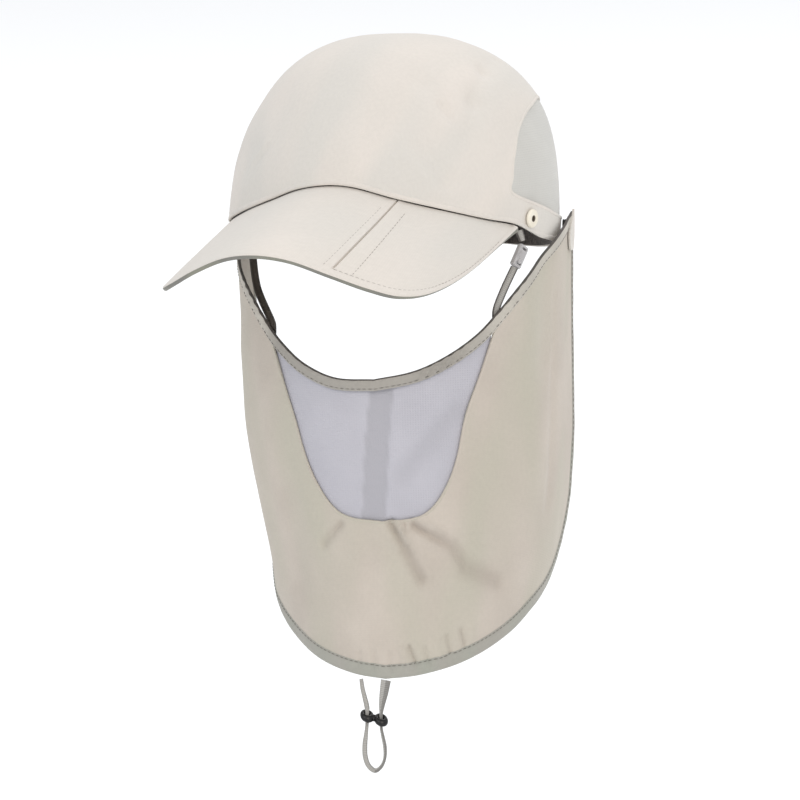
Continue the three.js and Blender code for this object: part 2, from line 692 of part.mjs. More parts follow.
// The cord's route: down from the hem, through the lock, round a loop and back up.
const CORD_ROUTE = [
  { across: -8.2, z: -235.7 },
  { across: -7.5, z: -240.7 },
  { across: -6.2, z: -246 },
  { across: -5.15, z: -250.8 },
  { across: -5.1, z: -254.9 },
  { across: -5.15, z: -259 },
  { across: -5.7, z: -264.3 },
  { across: -6.3, z: -270 },
  { across: -6.1, z: -275.8 },
  { across: -4.4, z: -280.6 },
  { across: -1, z: -283.2 },
  { across: 2.3, z: -281 },
  { across: 4.1, z: -276.6 },
  { across: 4.2, z: -271 },
  { across: 3.2, z: -265.8 },
  { across: 2.25, z: -261 },
  { across: 2.2, z: -256.9 },
  { across: 2.25, z: -252.8 },
  { across: 2.8, z: -247.8 },
  { across: 3.8, z: -242 },
  { across: 4.7, z: -236.2 },
];

function cordGeometry() {
  const places = CORD_ROUTE.map((p) => underHem(p.across, p.z));
  const route = new THREE.CatmullRomCurve3(places, false, 'centripetal');
  const section = new THREE.Shape(Array.from({ length: CORD.sides }, (_, i) => {
    const a = 2 * Math.PI * (i + 0.5) / CORD.sides;
    return new THREE.Vector2(CORD.radius * Math.cos(a), CORD.radius * Math.sin(a));
  }));
  return new THREE.ExtrudeGeometry(section, { steps: CORD.steps, extrudePath: route });
}

// Two round lobes side by side, each with a hole down through it.
function lockPiece() {
  const outline = new THREE.Shape();
  const { halfSpan, lobe, height, hole, sides, rise } = LOCK;
  const waist = Math.acos(LOCK.waist / lobe);
  outline.absarc(halfSpan, 0, lobe, -Math.PI + waist, Math.PI - waist);
  outline.absarc(-halfSpan, 0, lobe, waist, 2 * Math.PI - waist);
  for (const x of [-halfSpan, halfSpan]) {
    outline.holes.push(new THREE.Path().absarc(x, 0, hole, 0, 2 * Math.PI, true));
  }
  const geometry = new THREE.ExtrudeGeometry(outline, {
    depth: height,
    bevelEnabled: false,
    curveSegments: sides,
  });
  geometry.translate(0, 0, -height / 2);
  geometry.applyMatrix4(new THREE.Matrix4().makeShear(0, -rise, 0, 0, 0, 0));
  const turn = new THREE.Euler(0, 0, FLAP.twist);
  return { geometry, position: underHem(LOCK.across, LOCK.z), quaternion: new THREE.Quaternion().setFromEuler(turn) };
}

// Materials
const finish = (color, roughness, metalness = 0) => new THREE.MeshStandardMaterial({ color, roughness, metalness });
const NYLON = finish('#dedad2', 0.85);
const NYLON_FLAP = finish('#cdc6b9', 0.85);
const KNIT_SIDE = finish('#d6d5d0', 0.9);
const KNIT_VENT = finish('#cbcad4', 0.9);
const DARK_BAND = finish('#38312e', 0.95);
const ELASTIC = finish('#b9b7b3', 0.85);
const IVORY = finish('#ebe6d8', 0.35);
const CLEAR_GREY = finish('#b9b9be', 0.3);
const BLACK = finish('#121213', 0.3);

// Assembly
const hat = new THREE.Group();

function add(name, { geometry, position, quaternion }, material) {
  const mesh = new THREE.Mesh(geometry, material);
  mesh.name = name;
  if (position) mesh.position.copy(position);
  if (quaternion) mesh.quaternion.copy(quaternion);
  hat.add(mesh);
}

const crown = crownPieces();
add('crown_shell', { geometry: crown.shell }, NYLON);
add('side_panel_left', { geometry: crown.left }, KNIT_SIDE);
add('side_panel_right', { geometry: crown.right }, KNIT_SIDE);
add('sweatband', { geometry: sweatbandGeometry() }, DARK_BAND);
add('peak', { geometry: peakGeometry() }, NYLON);

const flap = flapPieces();
add('flap_sheet', { geometry: flap.sheet }, NYLON_FLAP);
add('flap_vent', { geometry: flap.vent }, KNIT_VENT);
add('flap_top_binding', { geometry: flap.binding }, NYLON_FLAP);
add('flap_hem', { geometry: flap.hem }, NYLON_FLAP);

for (const [side, sign] of [['left', 1], ['right', -1]]) {
  add(`crown_snap_${side}`, ringSnap(sign), IVORY);
  add(`corner_post_${side}`, cornerPost(sign), IVORY);
  add(`corner_tab_${side}`, { geometry: cornerTab(sign) }, NYLON_FLAP);
  const hanger = hangerPieces(side);
  add(`strap_loop_${side}`, hanger.loop, ELASTIC);
  add(`strap_clip_${side}`, hanger.clip, CLEAR_GREY);
  add(`side_strap_${side}`, hanger.strap, ELASTIC);
}

add('drawcord', { geometry: cordGeometry() }, ELASTIC);
add('cord_lock', lockPiece(), BLACK);

export default hat;
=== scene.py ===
# %% [markdown]
# # Sun cap with a peak and a hanging face and neck flap
# The real cap is sewn from light nylon cloth, with knitted panels where air goes through, elastic
# tapes that hold the flap, and a few small plastic fittings. Every part here is built around the
# imported CAD model, in metres, so nothing has to be fitted afterwards. The CAD box is kept first,
# and the studio floor is laid under it.

# %% The imported cap
import math
import bpy
from mathutils import Matrix, Vector, noise


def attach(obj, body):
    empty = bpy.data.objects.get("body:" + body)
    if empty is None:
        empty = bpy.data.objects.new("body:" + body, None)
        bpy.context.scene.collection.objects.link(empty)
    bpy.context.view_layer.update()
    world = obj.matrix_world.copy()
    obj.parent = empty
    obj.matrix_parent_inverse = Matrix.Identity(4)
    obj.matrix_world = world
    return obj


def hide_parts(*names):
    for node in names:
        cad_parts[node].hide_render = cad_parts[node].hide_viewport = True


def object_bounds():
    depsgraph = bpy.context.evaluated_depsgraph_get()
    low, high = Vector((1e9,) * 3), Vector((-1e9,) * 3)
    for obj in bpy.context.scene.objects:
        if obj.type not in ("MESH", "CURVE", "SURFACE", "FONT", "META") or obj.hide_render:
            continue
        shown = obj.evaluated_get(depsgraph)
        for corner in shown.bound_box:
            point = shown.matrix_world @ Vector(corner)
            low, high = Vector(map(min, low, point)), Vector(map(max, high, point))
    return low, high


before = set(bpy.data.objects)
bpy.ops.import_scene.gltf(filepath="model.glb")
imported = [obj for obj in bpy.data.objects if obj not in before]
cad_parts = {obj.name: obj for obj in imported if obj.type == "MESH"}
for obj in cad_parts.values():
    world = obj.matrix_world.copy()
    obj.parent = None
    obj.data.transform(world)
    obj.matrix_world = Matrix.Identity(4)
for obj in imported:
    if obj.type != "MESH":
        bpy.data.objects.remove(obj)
cad_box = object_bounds()
MM = 0.001
print("CAD box, mm:", [[round(x / MM, 1) for x in corner] for corner in cad_box])

# %% [markdown]
# ## Camera
# The photograph was taken from the wearer's left of the front and a little above, with a long lens
# that hardly narrows what is further away. A camera looks down its own -Z axis, so its three axes
# are worked out from the two angles and written into its matrix.

# %% A long lens from the front left
AZIMUTH = math.radians(24)
ELEVATION = math.radians(5)
LENS = 1200
SENSOR = 36
FRAME_WIDTH = 0.4145
AIM_RIGHT = 0.00415
AIM_UP = -0.0967
across_view = Vector((math.cos(AZIMUTH), math.sin(AZIMUTH), 0))
to_camera = Vector((
    math.sin(AZIMUTH) * math.cos(ELEVATION),
    -math.cos(AZIMUTH) * math.cos(ELEVATION),
    math.sin(ELEVATION),
))
up_view = to_camera.cross(across_view)
distance = FRAME_WIDTH * LENS / SENSOR
eye = across_view * AIM_RIGHT + up_view * AIM_UP + to_camera * distance
camera = bpy.data.objects.new("camera", bpy.data.cameras.new("camera"))
bpy.context.collection.objects.link(camera)
camera.data.lens = LENS
camera.data.sensor_width = SENSOR
camera.data.clip_end = 100
view_axes = Matrix((across_view, up_view, to_camera)).transposed().to_4x4()
camera.matrix_world = Matrix.Translation(eye) @ view_axes
bpy.context.scene.camera = camera
print("camera is", round(distance, 2), "m away")

# %% [markdown]
# ## Helpers for cloth
# Cloth is easiest to make as a flat grid whose points are then moved, here by a rule that
# says where each place of the flat cloth lies on the cap. The flat places stay in the UV map, in
# metres, so a weave drawn on them keeps its thread spacing whatever shape the cloth takes.

# %% Smooth tables, grids and walls
def read(table, place, column=1):
    """The height of a smooth curve through one column of a table, at a place in its first column."""
    last = len(table) - 1
    place = min(max(place, table[0][0]), table[last][0])
    i = 0
    while i < last - 1 and place > table[i + 1][0]:
        i += 1

    def slope(a, b):
        return (table[b][column] - table[a][column]) / (table[b][0] - table[a][0])

    def bend(k):
        return slope(i, i + 1) if k in (0, last) else slope(k - 1, k + 1)

    step = table[i + 1][0] - table[i][0]
    t = (place - table[i][0]) / step
    here = slope(i, i + 1)
    rise = t * (1 - t) * ((1 - t) * (bend(i) - here) - t * (bend(i + 1) - here)) * step
    return table[i][column] + (table[i + 1][column] - table[i][column]) * t + rise


def mix(a, b, t):
    """The value a share t of the way from a to b."""
    return a + (b - a) * t


def smooth(low, high, x):
    """0 below low, 1 above high, and a soft step between."""
    t = min(max((x - low) / (high - low), 0), 1)
    return t * t * (3 - 2 * t)


def normal_of(surface, u, v, d):
    """The direction that a surface faces, given as a rule of two numbers."""
    du = surface(u + d, v) - surface(u - d, v)
    dv = surface(u, v + d) - surface(u, v - d)
    return du.cross(dv).normalized()


def grid(name, columns, rows, place, flat):
    """A grid whose points are moved to place(u, v), in mm, with flat(u, v), in mm, as its UV map."""
    bpy.ops.object.select_all(action="DESELECT")
    bpy.ops.mesh.primitive_grid_add(x_subdivisions=columns, y_subdivisions=rows, size=1)
    made = bpy.context.object
    made.name = made.data.name = name
    places = [(p.co.x + 0.5, p.co.y + 0.5) for p in made.data.vertices]
    marks = made.data.uv_layers.active.data
    for loop in made.data.loops:
        marks[loop.index].uv = Vector(flat(*places[loop.vertex_index])) * MM
    for point, (u, v) in zip(made.data.vertices, places):
        point.co = Vector(place(u, v)) * MM
    return made


def edit(made, *steps):
    """Each step in edit mode, on the whole of one piece."""
    bpy.ops.object.select_all(action="DESELECT")
    made.select_set(True)
    bpy.context.view_layer.objects.active = made
    bpy.ops.object.mode_set(mode="EDIT")
    for step in steps:
        bpy.ops.mesh.select_all(action="SELECT")
        step()
    bpy.ops.object.mode_set(mode="OBJECT")
    return made


def weld():
    bpy.ops.mesh.remove_doubles(threshold=0.01 * MM)


def face_out():
    bpy.ops.mesh.normals_make_consistent(inside=False)


def close_ends():
    bpy.ops.mesh.select_all(action="DESELECT")
    bpy.ops.mesh.select_non_manifold()
    bpy.ops.mesh.fill_holes(sides=0)


def finish_with(made, kind, **settings):
    """A modifier, set and applied."""
    bpy.context.view_layer.objects.active = made
    modifier = made.modifiers.new(kind.lower(), kind)
    for name, value in settings.items():
        setattr(modifier, name, value)
    bpy.ops.object.modifier_apply(modifier=modifier.name)
    return made


def soften(made, degrees=50):
    """Smooth shading, with edges kept where two faces meet at more than that."""
    bpy.ops.object.select_all(action="DESELECT")
    made.select_set(True)
    bpy.context.view_layer.objects.active = made
    bpy.ops.object.shade_smooth_by_angle(angle=math.radians(degrees))
    return made


def joined(name, *parts):
    """Several meshes as one piece."""
    bpy.ops.object.select_all(action="DESELECT")
    for part in parts:
        part.select_set(True)
    bpy.context.view_layer.objects.active = parts[0]
    bpy.ops.object.join()
    parts[0].name = parts[0].data.name = name
    return parts[0]


def section(width, thickness, count, power):
    """A rounded bar seen end on, as points (along its width from 0, through its thickness)."""
    points = []
    for k in range(count):
        a = 2 * math.pi * (k + 0.5) / count
        c, s = math.cos(a), math.sin(a)
        x = math.copysign(abs(c) ** (2 / power), c) * width / 2 + width / 2
        points.append((x, math.copysign(abs(s) ** (2 / power), s) * thickness / 2))
    return points


def run_of(name, count, profile, place, closed=False):
    """A bar that follows a run of places: place(i, a, b) puts point (a, b) of its profile at place i."""
    rows = len(profile)

    def put(u, v):
        i = round(u * count)
        return place(i % count if closed else i, *profile[round(v * rows) % rows])

    spots = [place(i % count if closed else i, *profile[0]) for i in range(count + 1)]
    length = sum((b - a).length for a, b in zip(spots, spots[1:]))
    round_it = 2 * abs(profile[0][0] - profile[rows // 2][0])

    def flat(u, v):
        return u * length, v * round_it

    made = grid(name, count, rows, put, flat)
    edit(made, weld)
    if not closed:
        edit(made, close_ends)
    return made


def flat_end(made, way):
    """The length of a piece's flat pattern one way, in mm."""
    return max(mark.uv[way] for mark in made.data.uv_layers.active.data) / MM


def second_finish(made, rule):
    """Marks faces for a piece's second finish, by their shares of the flat pattern, along and across."""
    marks = made.data.uv_layers.active.data
    ends = [flat_end(made, way) * MM for way in (0, 1)]
    for face in made.data.polygons:
        spots = [marks[k].uv for k in face.loop_indices]
        along, across = (sum(spot[way] for spot in spots) / len(spots) / ends[way] for way in (0, 1))
        face.material_index = int(rule(along, across))


def tone(made, name, rule):
    """A tone from 0 to 1 all over a piece, by the place on its flat pattern, in mm."""
    known = {}
    values = []
    for mark in made.data.uv_layers.active.data:
        place = (round(mark.uv.x / MM, 2), round(mark.uv.y / MM, 2))
        if place not in known:
            known[place] = rule(*place)
        values.append(known[place])
    made.data.attributes.new(name, "FLOAT", "CORNER").data.foreach_set("value", values)


# %% [markdown]
# ## Shapes of the crown, peak and flap
# These tables follow the CAD model's own, in millimetres. A few rows of the peak's edge and the flap's
# lower edge are up to 2 mm lower than there. The crown is one dome whose front is rounder than its
# back. The flap is a half ellipse round the face whose sides run straight back. The finer dents and
# folds that cloth has, and a CAD wall doesn't need, are added to them.

# %% Crown
CROWN_HALF_WIDTH, CROWN_HALF_LENGTH, CROWN_HEIGHT = 83, 100, 92.5
FRONT_ROUND, BACK_ROUND = 1.95, 2.75
RIM = [
    (-180, -22), (-147, -22), (-120, -17), (-91, -10), (-75, -5.5), (-62, -3), (-45, 2.5),
    (-32, 8), (-20, 13.5), (-8, 19.5), (4, 22), (14, 21), (28, 15.5), (43, 10), (62, 3),
    (75, -1), (84, -6.2), (92, -10.4), (120, -17), (147, -22), (180, -22),
]
# The soft crown leans to the wearer's left and back: height above the lower edge, and how far.
LEAN = [(0, 1.2), (12, 1.9), (26, 2.4), (44, 2.7)]
LEAN_FADE = (52, 91)
LEAN_WAY = Vector((math.cos(math.radians(24)), math.sin(math.radians(24)), 0))
# Angle, height, spread in angle, spread in height, depth.
DENTS = [(54, 40, 9, 18, 1.8), (66, 64, 8, 10, 1.6), (-48, 34, 8, 9, 1.2)]
# Soft creases in the crown's cloth: angle and height at each end, spread in mm, height in mm.
CREASES = [
    (112, 80, 86, 76, 5, -1.4),
    (86, 76, 66, 62, 5, -1.7),
    (66, 62, 58, 46, 6, -1.6),
    (50, 62, 53, 54, 3.5, -1.8),
    (45, 72, 50, 60, 6, -1.3),
    (37, 42, 47, 23, 5, -1.6),
    (33, 36, 43, 18, 4, 0.9),
    (-36, 27, -30.5, 38.5, 1.6, -1.0),
    (-40, 30, -34, 40, 3.5, 0.7),
    (-44, 24, -37, 38, 5, -0.8),
]
# The cloth's slight unevenness: height and length of two sizes of soft waves.
CROWN_SLACK = [(0.45, 34), (0.16, 13)]
# How far apart, in degrees and lift, the places are whose slopes give the crown's direction.
CROWN_STEP = 0.004


def turned(angle):
    return (angle + 180) % 360 - 180


def rim_height(angle):
    return read(RIM, turned(angle))


def roundness(angle):
    return mix(FRONT_ROUND, BACK_ROUND, (1 - math.cos(math.radians(angle))) / 2)


def lift_at(angle, z):
    """The share of the way up the crown at which its face has height z."""
    turn = math.asin(min(abs(z / CROWN_HEIGHT), 1) ** (roundness(angle) / 2))
    return math.copysign(turn, z) / (math.pi / 2)


def crown_point(angle, lift):
    """The crown's outer face, by the angle from the front to the wearer's left and its share of the rise."""
    a = math.radians(angle)
    power = 2 / roundness(angle)
    turn = lift * math.pi / 2
    z = CROWN_HEIGHT * math.copysign(abs(math.sin(turn)) ** power, turn)
    dent = sum(
        d * math.exp(-(((turned(angle) - at) / wide) ** 2) - ((z - up) / tall) ** 2)
        for at, up, wide, tall, d in DENTS
    )
    reach = max(math.cos(turn), 0) ** power * (1 - dent / CROWN_HALF_WIDTH)
    lean = read(LEAN, z - rim_height(angle)) * (1 - smooth(*LEAN_FADE, z))
    upright = Vector((
        CROWN_HALF_WIDTH * math.sin(a) * reach,
        -CROWN_HALF_LENGTH * math.cos(a) * reach,
        z,
    ))
    return upright + LEAN_WAY * lean


def crown_out(angle, lift):
    """The direction that the crown faces there."""
    return normal_of(crown_point, angle, lift, CROWN_STEP)


def on_crown(angle, z):
    return crown_point(angle, lift_at(angle, z))


def to_line(place, start, end):
    """The distance from a place to a straight line between two others."""
    along = end - start
    t = min(max((place - start).dot(along) / along.length_squared, 0), 1)
    return (place - start - along * t).length


CREASE_LINES = [(on_crown(a, z), on_crown(b, w), spread, h) for a, z, b, w, spread, h in CREASES]


def crown_relief(point):
    """How far the cloth's creases and slack lift a point of the crown."""
    creases = sum(
        h * math.exp(-((to_line(point, start, end) / spread) ** 2))
        for start, end, spread, h in CREASE_LINES
    )
    slack = sum(h * noise.noise(point / size) for h, size in CROWN_SLACK)
    return creases + slack


print("crown", CROWN_HALF_WIDTH * 2, "by", CROWN_HALF_LENGTH * 2, "mm, with", len(CREASES), "creases")

# %% Flap
# Height, middle of the half ellipse, its half width and depth, and how far each side runs back.
FLAP_SECTIONS = [
    (-240, 30, 64, 98, 38, 38),
    (-180, 26, 72.5, 99, 38, 38),
    (-145, 22, 78, 100, 37, 37),
    (-110, 17, 82, 102, 35, 36),
    (-75, 14, 83, 104, 31, 36),
    (-40, 12, 84, 104, 27, 34),
    (5, 10, 86, 104, 20, 27),
]
# Height, and how far the hanging cloth swings to the wearer's left there.
FLAP_SWING = [
    (-240, 0), (-200, 0.2), (-180, 1), (-145, 0.9), (-110, 0.7), (-75, 1.1), (-40, 1.2), (5, 1.2),
]
# Share of the half span, then the height of the edge at the wearer's left and right.
FLAP_TOP = [
    (0, -78.5, -78.5), (0.13, -74, -78), (0.24, -66, -71.5), (0.34, -55.5, -61),
    (0.42, -44, -50.5), (0.5, -32.5, -40), (0.6, -20.5, -30), (0.73, -8.5, -18),
    (0.86, -2.5, -7), (1, 0, 0.5),
]
FLAP_BOTTOM = [
    (0, -235.5, -235.5), (0.14, -233.5, -233), (0.32, -227.3, -226), (0.5, -216.5, -213),
    (0.66, -203.5, -197), (0.78, -193.5, -186), (0.87, -183.5, -176), (0.94, -171.5, -165),
    (0.98, -160, -155), (1, -150, -146),
]
TWIST = math.radians(15)
HALF_SPAN = 180
FRONT_SHARE = 0.8
# Folds in the flap: a line in the flat cloth, its spread and its height, all in mm.
FOLDS = [
    (11, -164, 28, -186, 6, 1.4),
    (34, -168, 80, -187, 8, -1.8),
    (114, -25, 112, -70, 12, -2),
    (-108, -70, -100, -190, 14, 1.5),
    (5.5, -154, 14, -168, 2.4, -3),
    (14, -168, 24, -183, 4, -3.2),
    (11.5, -156, 19, -169, 2.2, 2.2),
    (13.5, -154, 14.5, -159, 1.3, -1.3),
    (19.5, -155, 31, -161, 2.4, -3),
    (31, -161, 44, -167, 3.4, -3),
    (44, -167, 53, -178, 4.6, -2.9),
    (53, -178, 78, -187, 5.5, -2.6),
    (24, -153, 40, -160, 2.2, 1.8),
    (46, -160, 62, -172, 6, 1.8),
    (-26.5, -155, -33, -160, 2, -2),
    (-33, -160, -41, -166, 2.8, -1.8),
    (-8, -157, -10, -175, 6, -0.9),
    (17, -219, 22, -228, 1.6, -1.7),
    (12, -220, 15, -228, 1.8, 1.2),
    (28, -220, 31, -227, 1.6, -1.2),
    (36, -217, 38, -224, 2.2, 1.1),
    (43, -214, 46, -222, 1.7, -1.3),
    (53, -211, 56, -218, 1.8, -1.5),
    (61, -208, 63, -213, 2.2, 0.9),
    (3, -223, 4, -230, 1.6, -0.9),
    (-8, -222, -8, -230, 1.8, -0.9),
    (-19, -222, -19, -229, 1.6, -0.7),
    (100, -60, 104, -130, 12, 1.4),
    (124, -40, 121, -150, 5, -1.2),
    (-60, -120, -70, -185, 12, -1.4),
    (62, -95, 76, -165, 14, -1.3),
]
# The hanging cloth's slight unevenness: height, length along and down, and a place in the noise.
FLAP_SLACK = [(0.7, 48, 60, 3), (0.2, 17, 21, 7)]
FLAP_STEP = 0.2
FOLD_LINES = [(Vector((x, y)), Vector((u, v)), s, h) for x, y, u, v, s, h in FOLDS]


def flap_point(along, z, folded=True):
    """The flap's middle face: along is mm of cloth from its middle to the wearer's left."""
    axis, half_width, depth, left, right = (read(FLAP_SECTIONS, z, c) for c in range(1, 6))
    share = along / HALF_SPAN
    front = min(abs(share) / FRONT_SHARE, 1) * math.pi / 2
    back = max(abs(share) - FRONT_SHARE, 0) / (1 - FRONT_SHARE)
    side = left if share >= 0 else right
    point = Vector((
        math.copysign(half_width * math.sin(front), share),
        -depth * math.cos(front) + side * back,
        0,
    ))
    flat = Vector((along, z))
    heights = [0.0]
    if folded:
        heights += [
            h * math.exp(-((to_line(flat, start, end) / spread) ** 2))
            for start, end, spread, h in FOLD_LINES
        ]
    # Where two grooves or two ridges meet, the cloth is as deep or as high as the stronger one.
    folds = max(heights) + min(heights)
    slack = sum(h * noise.noise(Vector((along / a, z / b, seed))) for h, a, b, seed in FLAP_SLACK)
    point *= 1 + (folds + slack) / point.length
    point.rotate(Matrix.Rotation(TWIST, 3, "Z"))
    return point + Vector((read(FLAP_SWING, z), axis, z))


def flap_out(along, z):
    return normal_of(flap_point, along, z, FLAP_STEP)


def flap_edge(table, share):
    return read(table, abs(share), 1 if share >= 0 else 2)


def flap_top(share):
    return flap_edge(FLAP_TOP, share)


def flap_bottom(share):
    return flap_edge(FLAP_BOTTOM, share)


print("flap", 2 * HALF_SPAN, "mm of cloth round the face and neck, with", len(FOLDS), "folds")

# %% Peak
# Share of the seam, then the free edge's place across and forward and its height at left and right.
# The first row mirrors the third, so that the edge is level and smooth at its middle.
PEAK_EDGE = [
    (-0.15, -19, -171.5, -11, -11),
    (0, 0, -174, -8.6, -8.6),
    (0.15, 19, -171.5, -11, -11),
    (0.3, 38.5, -165, -18.3, -18.3),
    (0.45, 55.5, -153.5, -26, -26),
    (0.6, 67.5, -139.5, -30.5, -30.5),
    (0.75, 75, -115, -29.8, -29.8),
    (0.88, 80, -79.5, -21.5, -22.5),
    (1, 83.3, -26.5, -2.8, -8),
]
PEAK_END_ANGLE = 75
PEAK_THICKNESS = 2.8
PEAK_BOW, PEAK_TUCK, PEAK_BELOW = 1, 1.3, 0.8
PEAK_STEP = 0.003


def peak_seam(share):
    angle = share * PEAK_END_ANGLE
    seam = on_crown(angle, rim_height(angle))
    level = Vector((seam.x, seam.y, 0))
    return seam - level.normalized() * PEAK_TUCK - Vector((0, 0, PEAK_BELOW))


def peak_edge(share):
    across, forward, left, right = (read(PEAK_EDGE, abs(share), c) for c in range(1, 5))
    return Vector((math.copysign(across, share), forward, left if share >= 0 else right))


def peak_top(share, v):
    """The peak's upper face, from its seam at v = 0 to its free edge at v = 1."""
    point = peak_seam(share).lerp(peak_edge(share), v)
    return point + Vector((0, 0, PEAK_BOW * math.sin(math.pi * v) * (1 - share * share)))


def peak_out(share, v):
    """The direction that the peak's upper face has there."""
    return -normal_of(peak_top, share, v, PEAK_STEP)


def peak_length(share):
    return (peak_edge(share) - peak_seam(share)).length


print("peak", round(peak_length(0)), "mm long at its middle")

# %% [markdown]
# ## Drawcord
# A flat elastic tape leaves the hem's middle, runs down through both holes of the lock, turns in a
# loop and goes back up. It hangs straight under its own weight. It is made first of all the pieces,
# as a flattened bar swept along its route, and it twists a little on the way, as flat elastic does.

# %% The cord's route and its tape
# Across from the cord's middle to the wearer's left, and height.
CORD_ROUTE = [
    (-8.2, -235.7), (-7.5, -240.7), (-6.2, -246), (-5.15, -250.8), (-5.1, -254.9), (-5.15, -259),
    (-5.7, -264.3), (-6.3, -270), (-6.1, -275.8), (-4.4, -280.6), (-1, -283.2), (2.3, -281),
    (4.1, -276.6), (4.2, -271), (3.2, -265.8), (2.25, -261), (2.2, -256.9), (2.25, -252.8),
    (2.8, -247.8), (3.8, -242), (4.7, -236.2),
]
CORD_ALONG = -6.5
CORD_STEPS = 8
# Share of the route, width of the tape and its turn from facing the front, in degrees.
CORD_TAPE = [
    (0, 2.2, 45), (0.08, 2.4, 30), (0.14, 2.6, 20), (0.18, 2.2, 40), (0.22, 2.1, 45), (0.28, 2.2, 50),
    (0.35, 2.6, 25), (0.44, 2.6, 25), (0.5, 2.6, 35), (0.58, 2.3, 50), (0.66, 2.4, 35), (0.74, 2.1, 45),
    (0.8, 1.9, 45), (0.85, 2.3, 30), (0.89, 3.4, 20), (0.94, 4.6, 10), (1, 5.4, 5),
]
CORD_THICKNESS = 0.9
# The share of the route where the tape turns, and shares round it in painted shade before and after.
CORD_TURNS, CORD_SHADE_BEFORE, CORD_SHADE_AFTER = 0.5, (0.28, 0.68), (0.2, 0.78)


def smooth_run(points, steps):
    """A smooth run of places through the given ones."""
    run = []
    last = len(points) - 1
    for i in range(last):
        before, here, there, after = (points[min(max(k, 0), last)] for k in (i - 1, i, i + 1, i + 2))
        for k in range(steps):
            t = k / steps
            run.append(
                here
                + (there - before) * (t / 2)
                + (before * 2 - here * 5 + there * 4 - after) * (t * t / 2)
                + (here * 3 - before - there * 3 + after) * (t * t * t / 2)
            )
    return run + [points[last]]


hem_across = Vector((math.cos(TWIST), math.sin(TWIST), 0))
hem_out = Vector((math.sin(TWIST), -math.cos(TWIST), 0))


def under_hem(across, z):
    """A place under the flap's lower edge."""
    level = flap_point(CORD_ALONG, flap_bottom(0)) + hem_across * across
    return Vector((level.x, level.y, z))


cord_path = smooth_run([under_hem(x, z) for x, z in CORD_ROUTE], CORD_STEPS)
cord_last = len(cord_path) - 1


def on_cord(i, a, b):
    width, turn = (read(CORD_TAPE, i / cord_last, c) for c in (1, 2))
    along = (cord_path[min(i + 1, cord_last)] - cord_path[max(i - 1, 0)]).normalized()
    side = along.cross(hem_out).normalized()
    face = side.cross(along)
    spin = math.radians(turn)
    wide = side * math.cos(spin) + face * math.sin(spin)
    thick = wide.cross(along)
    return cord_path[i] + wide * ((a - 0.5) * width) + thick * b


drawcord = run_of("drawcord_tape", cord_last, section(1, CORD_THICKNESS, 14, 3), on_cord)


def cord_shade(along, across):
    """Painted shade on the tape's inner half before the turn, and on its outer half after it."""
    inner = CORD_SHADE_BEFORE[0] < across < CORD_SHADE_BEFORE[1]
    outer = across < CORD_SHADE_AFTER[0] or across > CORD_SHADE_AFTER[1]
    return inner if along < CORD_TURNS else outer


# One half of the tape gets painted shade.
second_finish(drawcord, cord_shade)
soften(drawcord, 70)
cord_length = sum((b - a).length for a, b in zip(cord_path, cord_path[1:])) * MM
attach(drawcord, "root")
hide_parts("drawcord")
print("drawcord is", round(cord_length / MM, 1), "mm long")

# %% [markdown]
# ## Cord lock
# The stop is a soft glossy plastic bead of two rings side by side, and one strand goes through each.
# It hangs tilted, so its holes open to the front. Two stretched rings and a small bridge between
# them are fused by a voxel remesh, which leaves one smooth body, and then slanted point by point.

# %% Two fused rings
LOCK_MIDDLE, LOCK_HEIGHT = -1.45, 255.9
LOCK_HALF, LOCK_RISE, LOCK_SLOPE = 3.65, 0.27, 0.5
LOCK_RING, LOCK_BEAD, LOCK_TALL = 2.42, 1.2, 1.45
LOCK_BRIDGE = (1.7, 1.5, 1.6)
LOCK_VOXEL = 0.2
LOCK_STRETCH = Matrix.Diagonal((1, 1, LOCK_TALL, 1))


lock_parts = []
for side in (-1, 1):
    bpy.ops.object.select_all(action="DESELECT")
    bpy.ops.mesh.primitive_torus_add(
        major_segments=48, minor_segments=20, major_radius=LOCK_RING * MM, minor_radius=LOCK_BEAD * MM
    )
    ring = bpy.context.object
    ring.data.transform(Matrix.Translation((side * LOCK_HALF * MM, 0, 0)) @ LOCK_STRETCH)
    lock_parts.append(ring)
bpy.ops.object.select_all(action="DESELECT")
bpy.ops.mesh.primitive_uv_sphere_add(segments=24, ring_count=14, radius=MM)
bpy.context.object.data.transform(Matrix.Diagonal((*LOCK_BRIDGE, 1)))
lock = joined("cord_lock_bead", *lock_parts, bpy.context.object)
finish_with(lock, "REMESH", mode="VOXEL", voxel_size=LOCK_VOXEL * MM)
finish_with(lock, "SMOOTH", factor=0.5, iterations=5)
lock_middle = under_hem(LOCK_MIDDLE, -LOCK_HEIGHT) * MM
for point in lock.data.vertices:
    across, behind, up = point.co
    up += LOCK_SLOPE * behind - LOCK_RISE * across
    point.co = lock_middle + hem_across * across - hem_out * behind + Vector((0, 0, up))
soften(lock, 60)
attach(lock, "root")
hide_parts("cord_lock")
print("lock has", len(lock.data.polygons), "faces")

# %% [markdown]
# ## Stitches
# A seam is a row of short thread ends that stand a hair above the cloth. One stitch is modelled as
# a stretched ball of a few faces, and copies of it are laid along a line, each turned to follow the
# line and the cloth. A row becomes one mesh, because hundreds of separate objects would be slow.

# %% One stitch, and rows of it
STITCH_LENGTH, STITCH_WIDTH, STITCH_HEIGHT, STITCH_GAP = 2.3, 0.42, 0.3, 0.75
STITCH_LIFT = 0.08
bpy.ops.object.select_all(action="DESELECT")
bpy.ops.mesh.primitive_uv_sphere_add(segments=6, ring_count=5, radius=0.5)
stitch = bpy.context.object
turn_down = Matrix.Rotation(math.pi / 2, 3, "Y")
stitch_points = [turn_down @ p.co for p in stitch.data.vertices]
stitch_faces = [tuple(f.vertices) for f in stitch.data.polygons]
bpy.data.objects.remove(stitch)


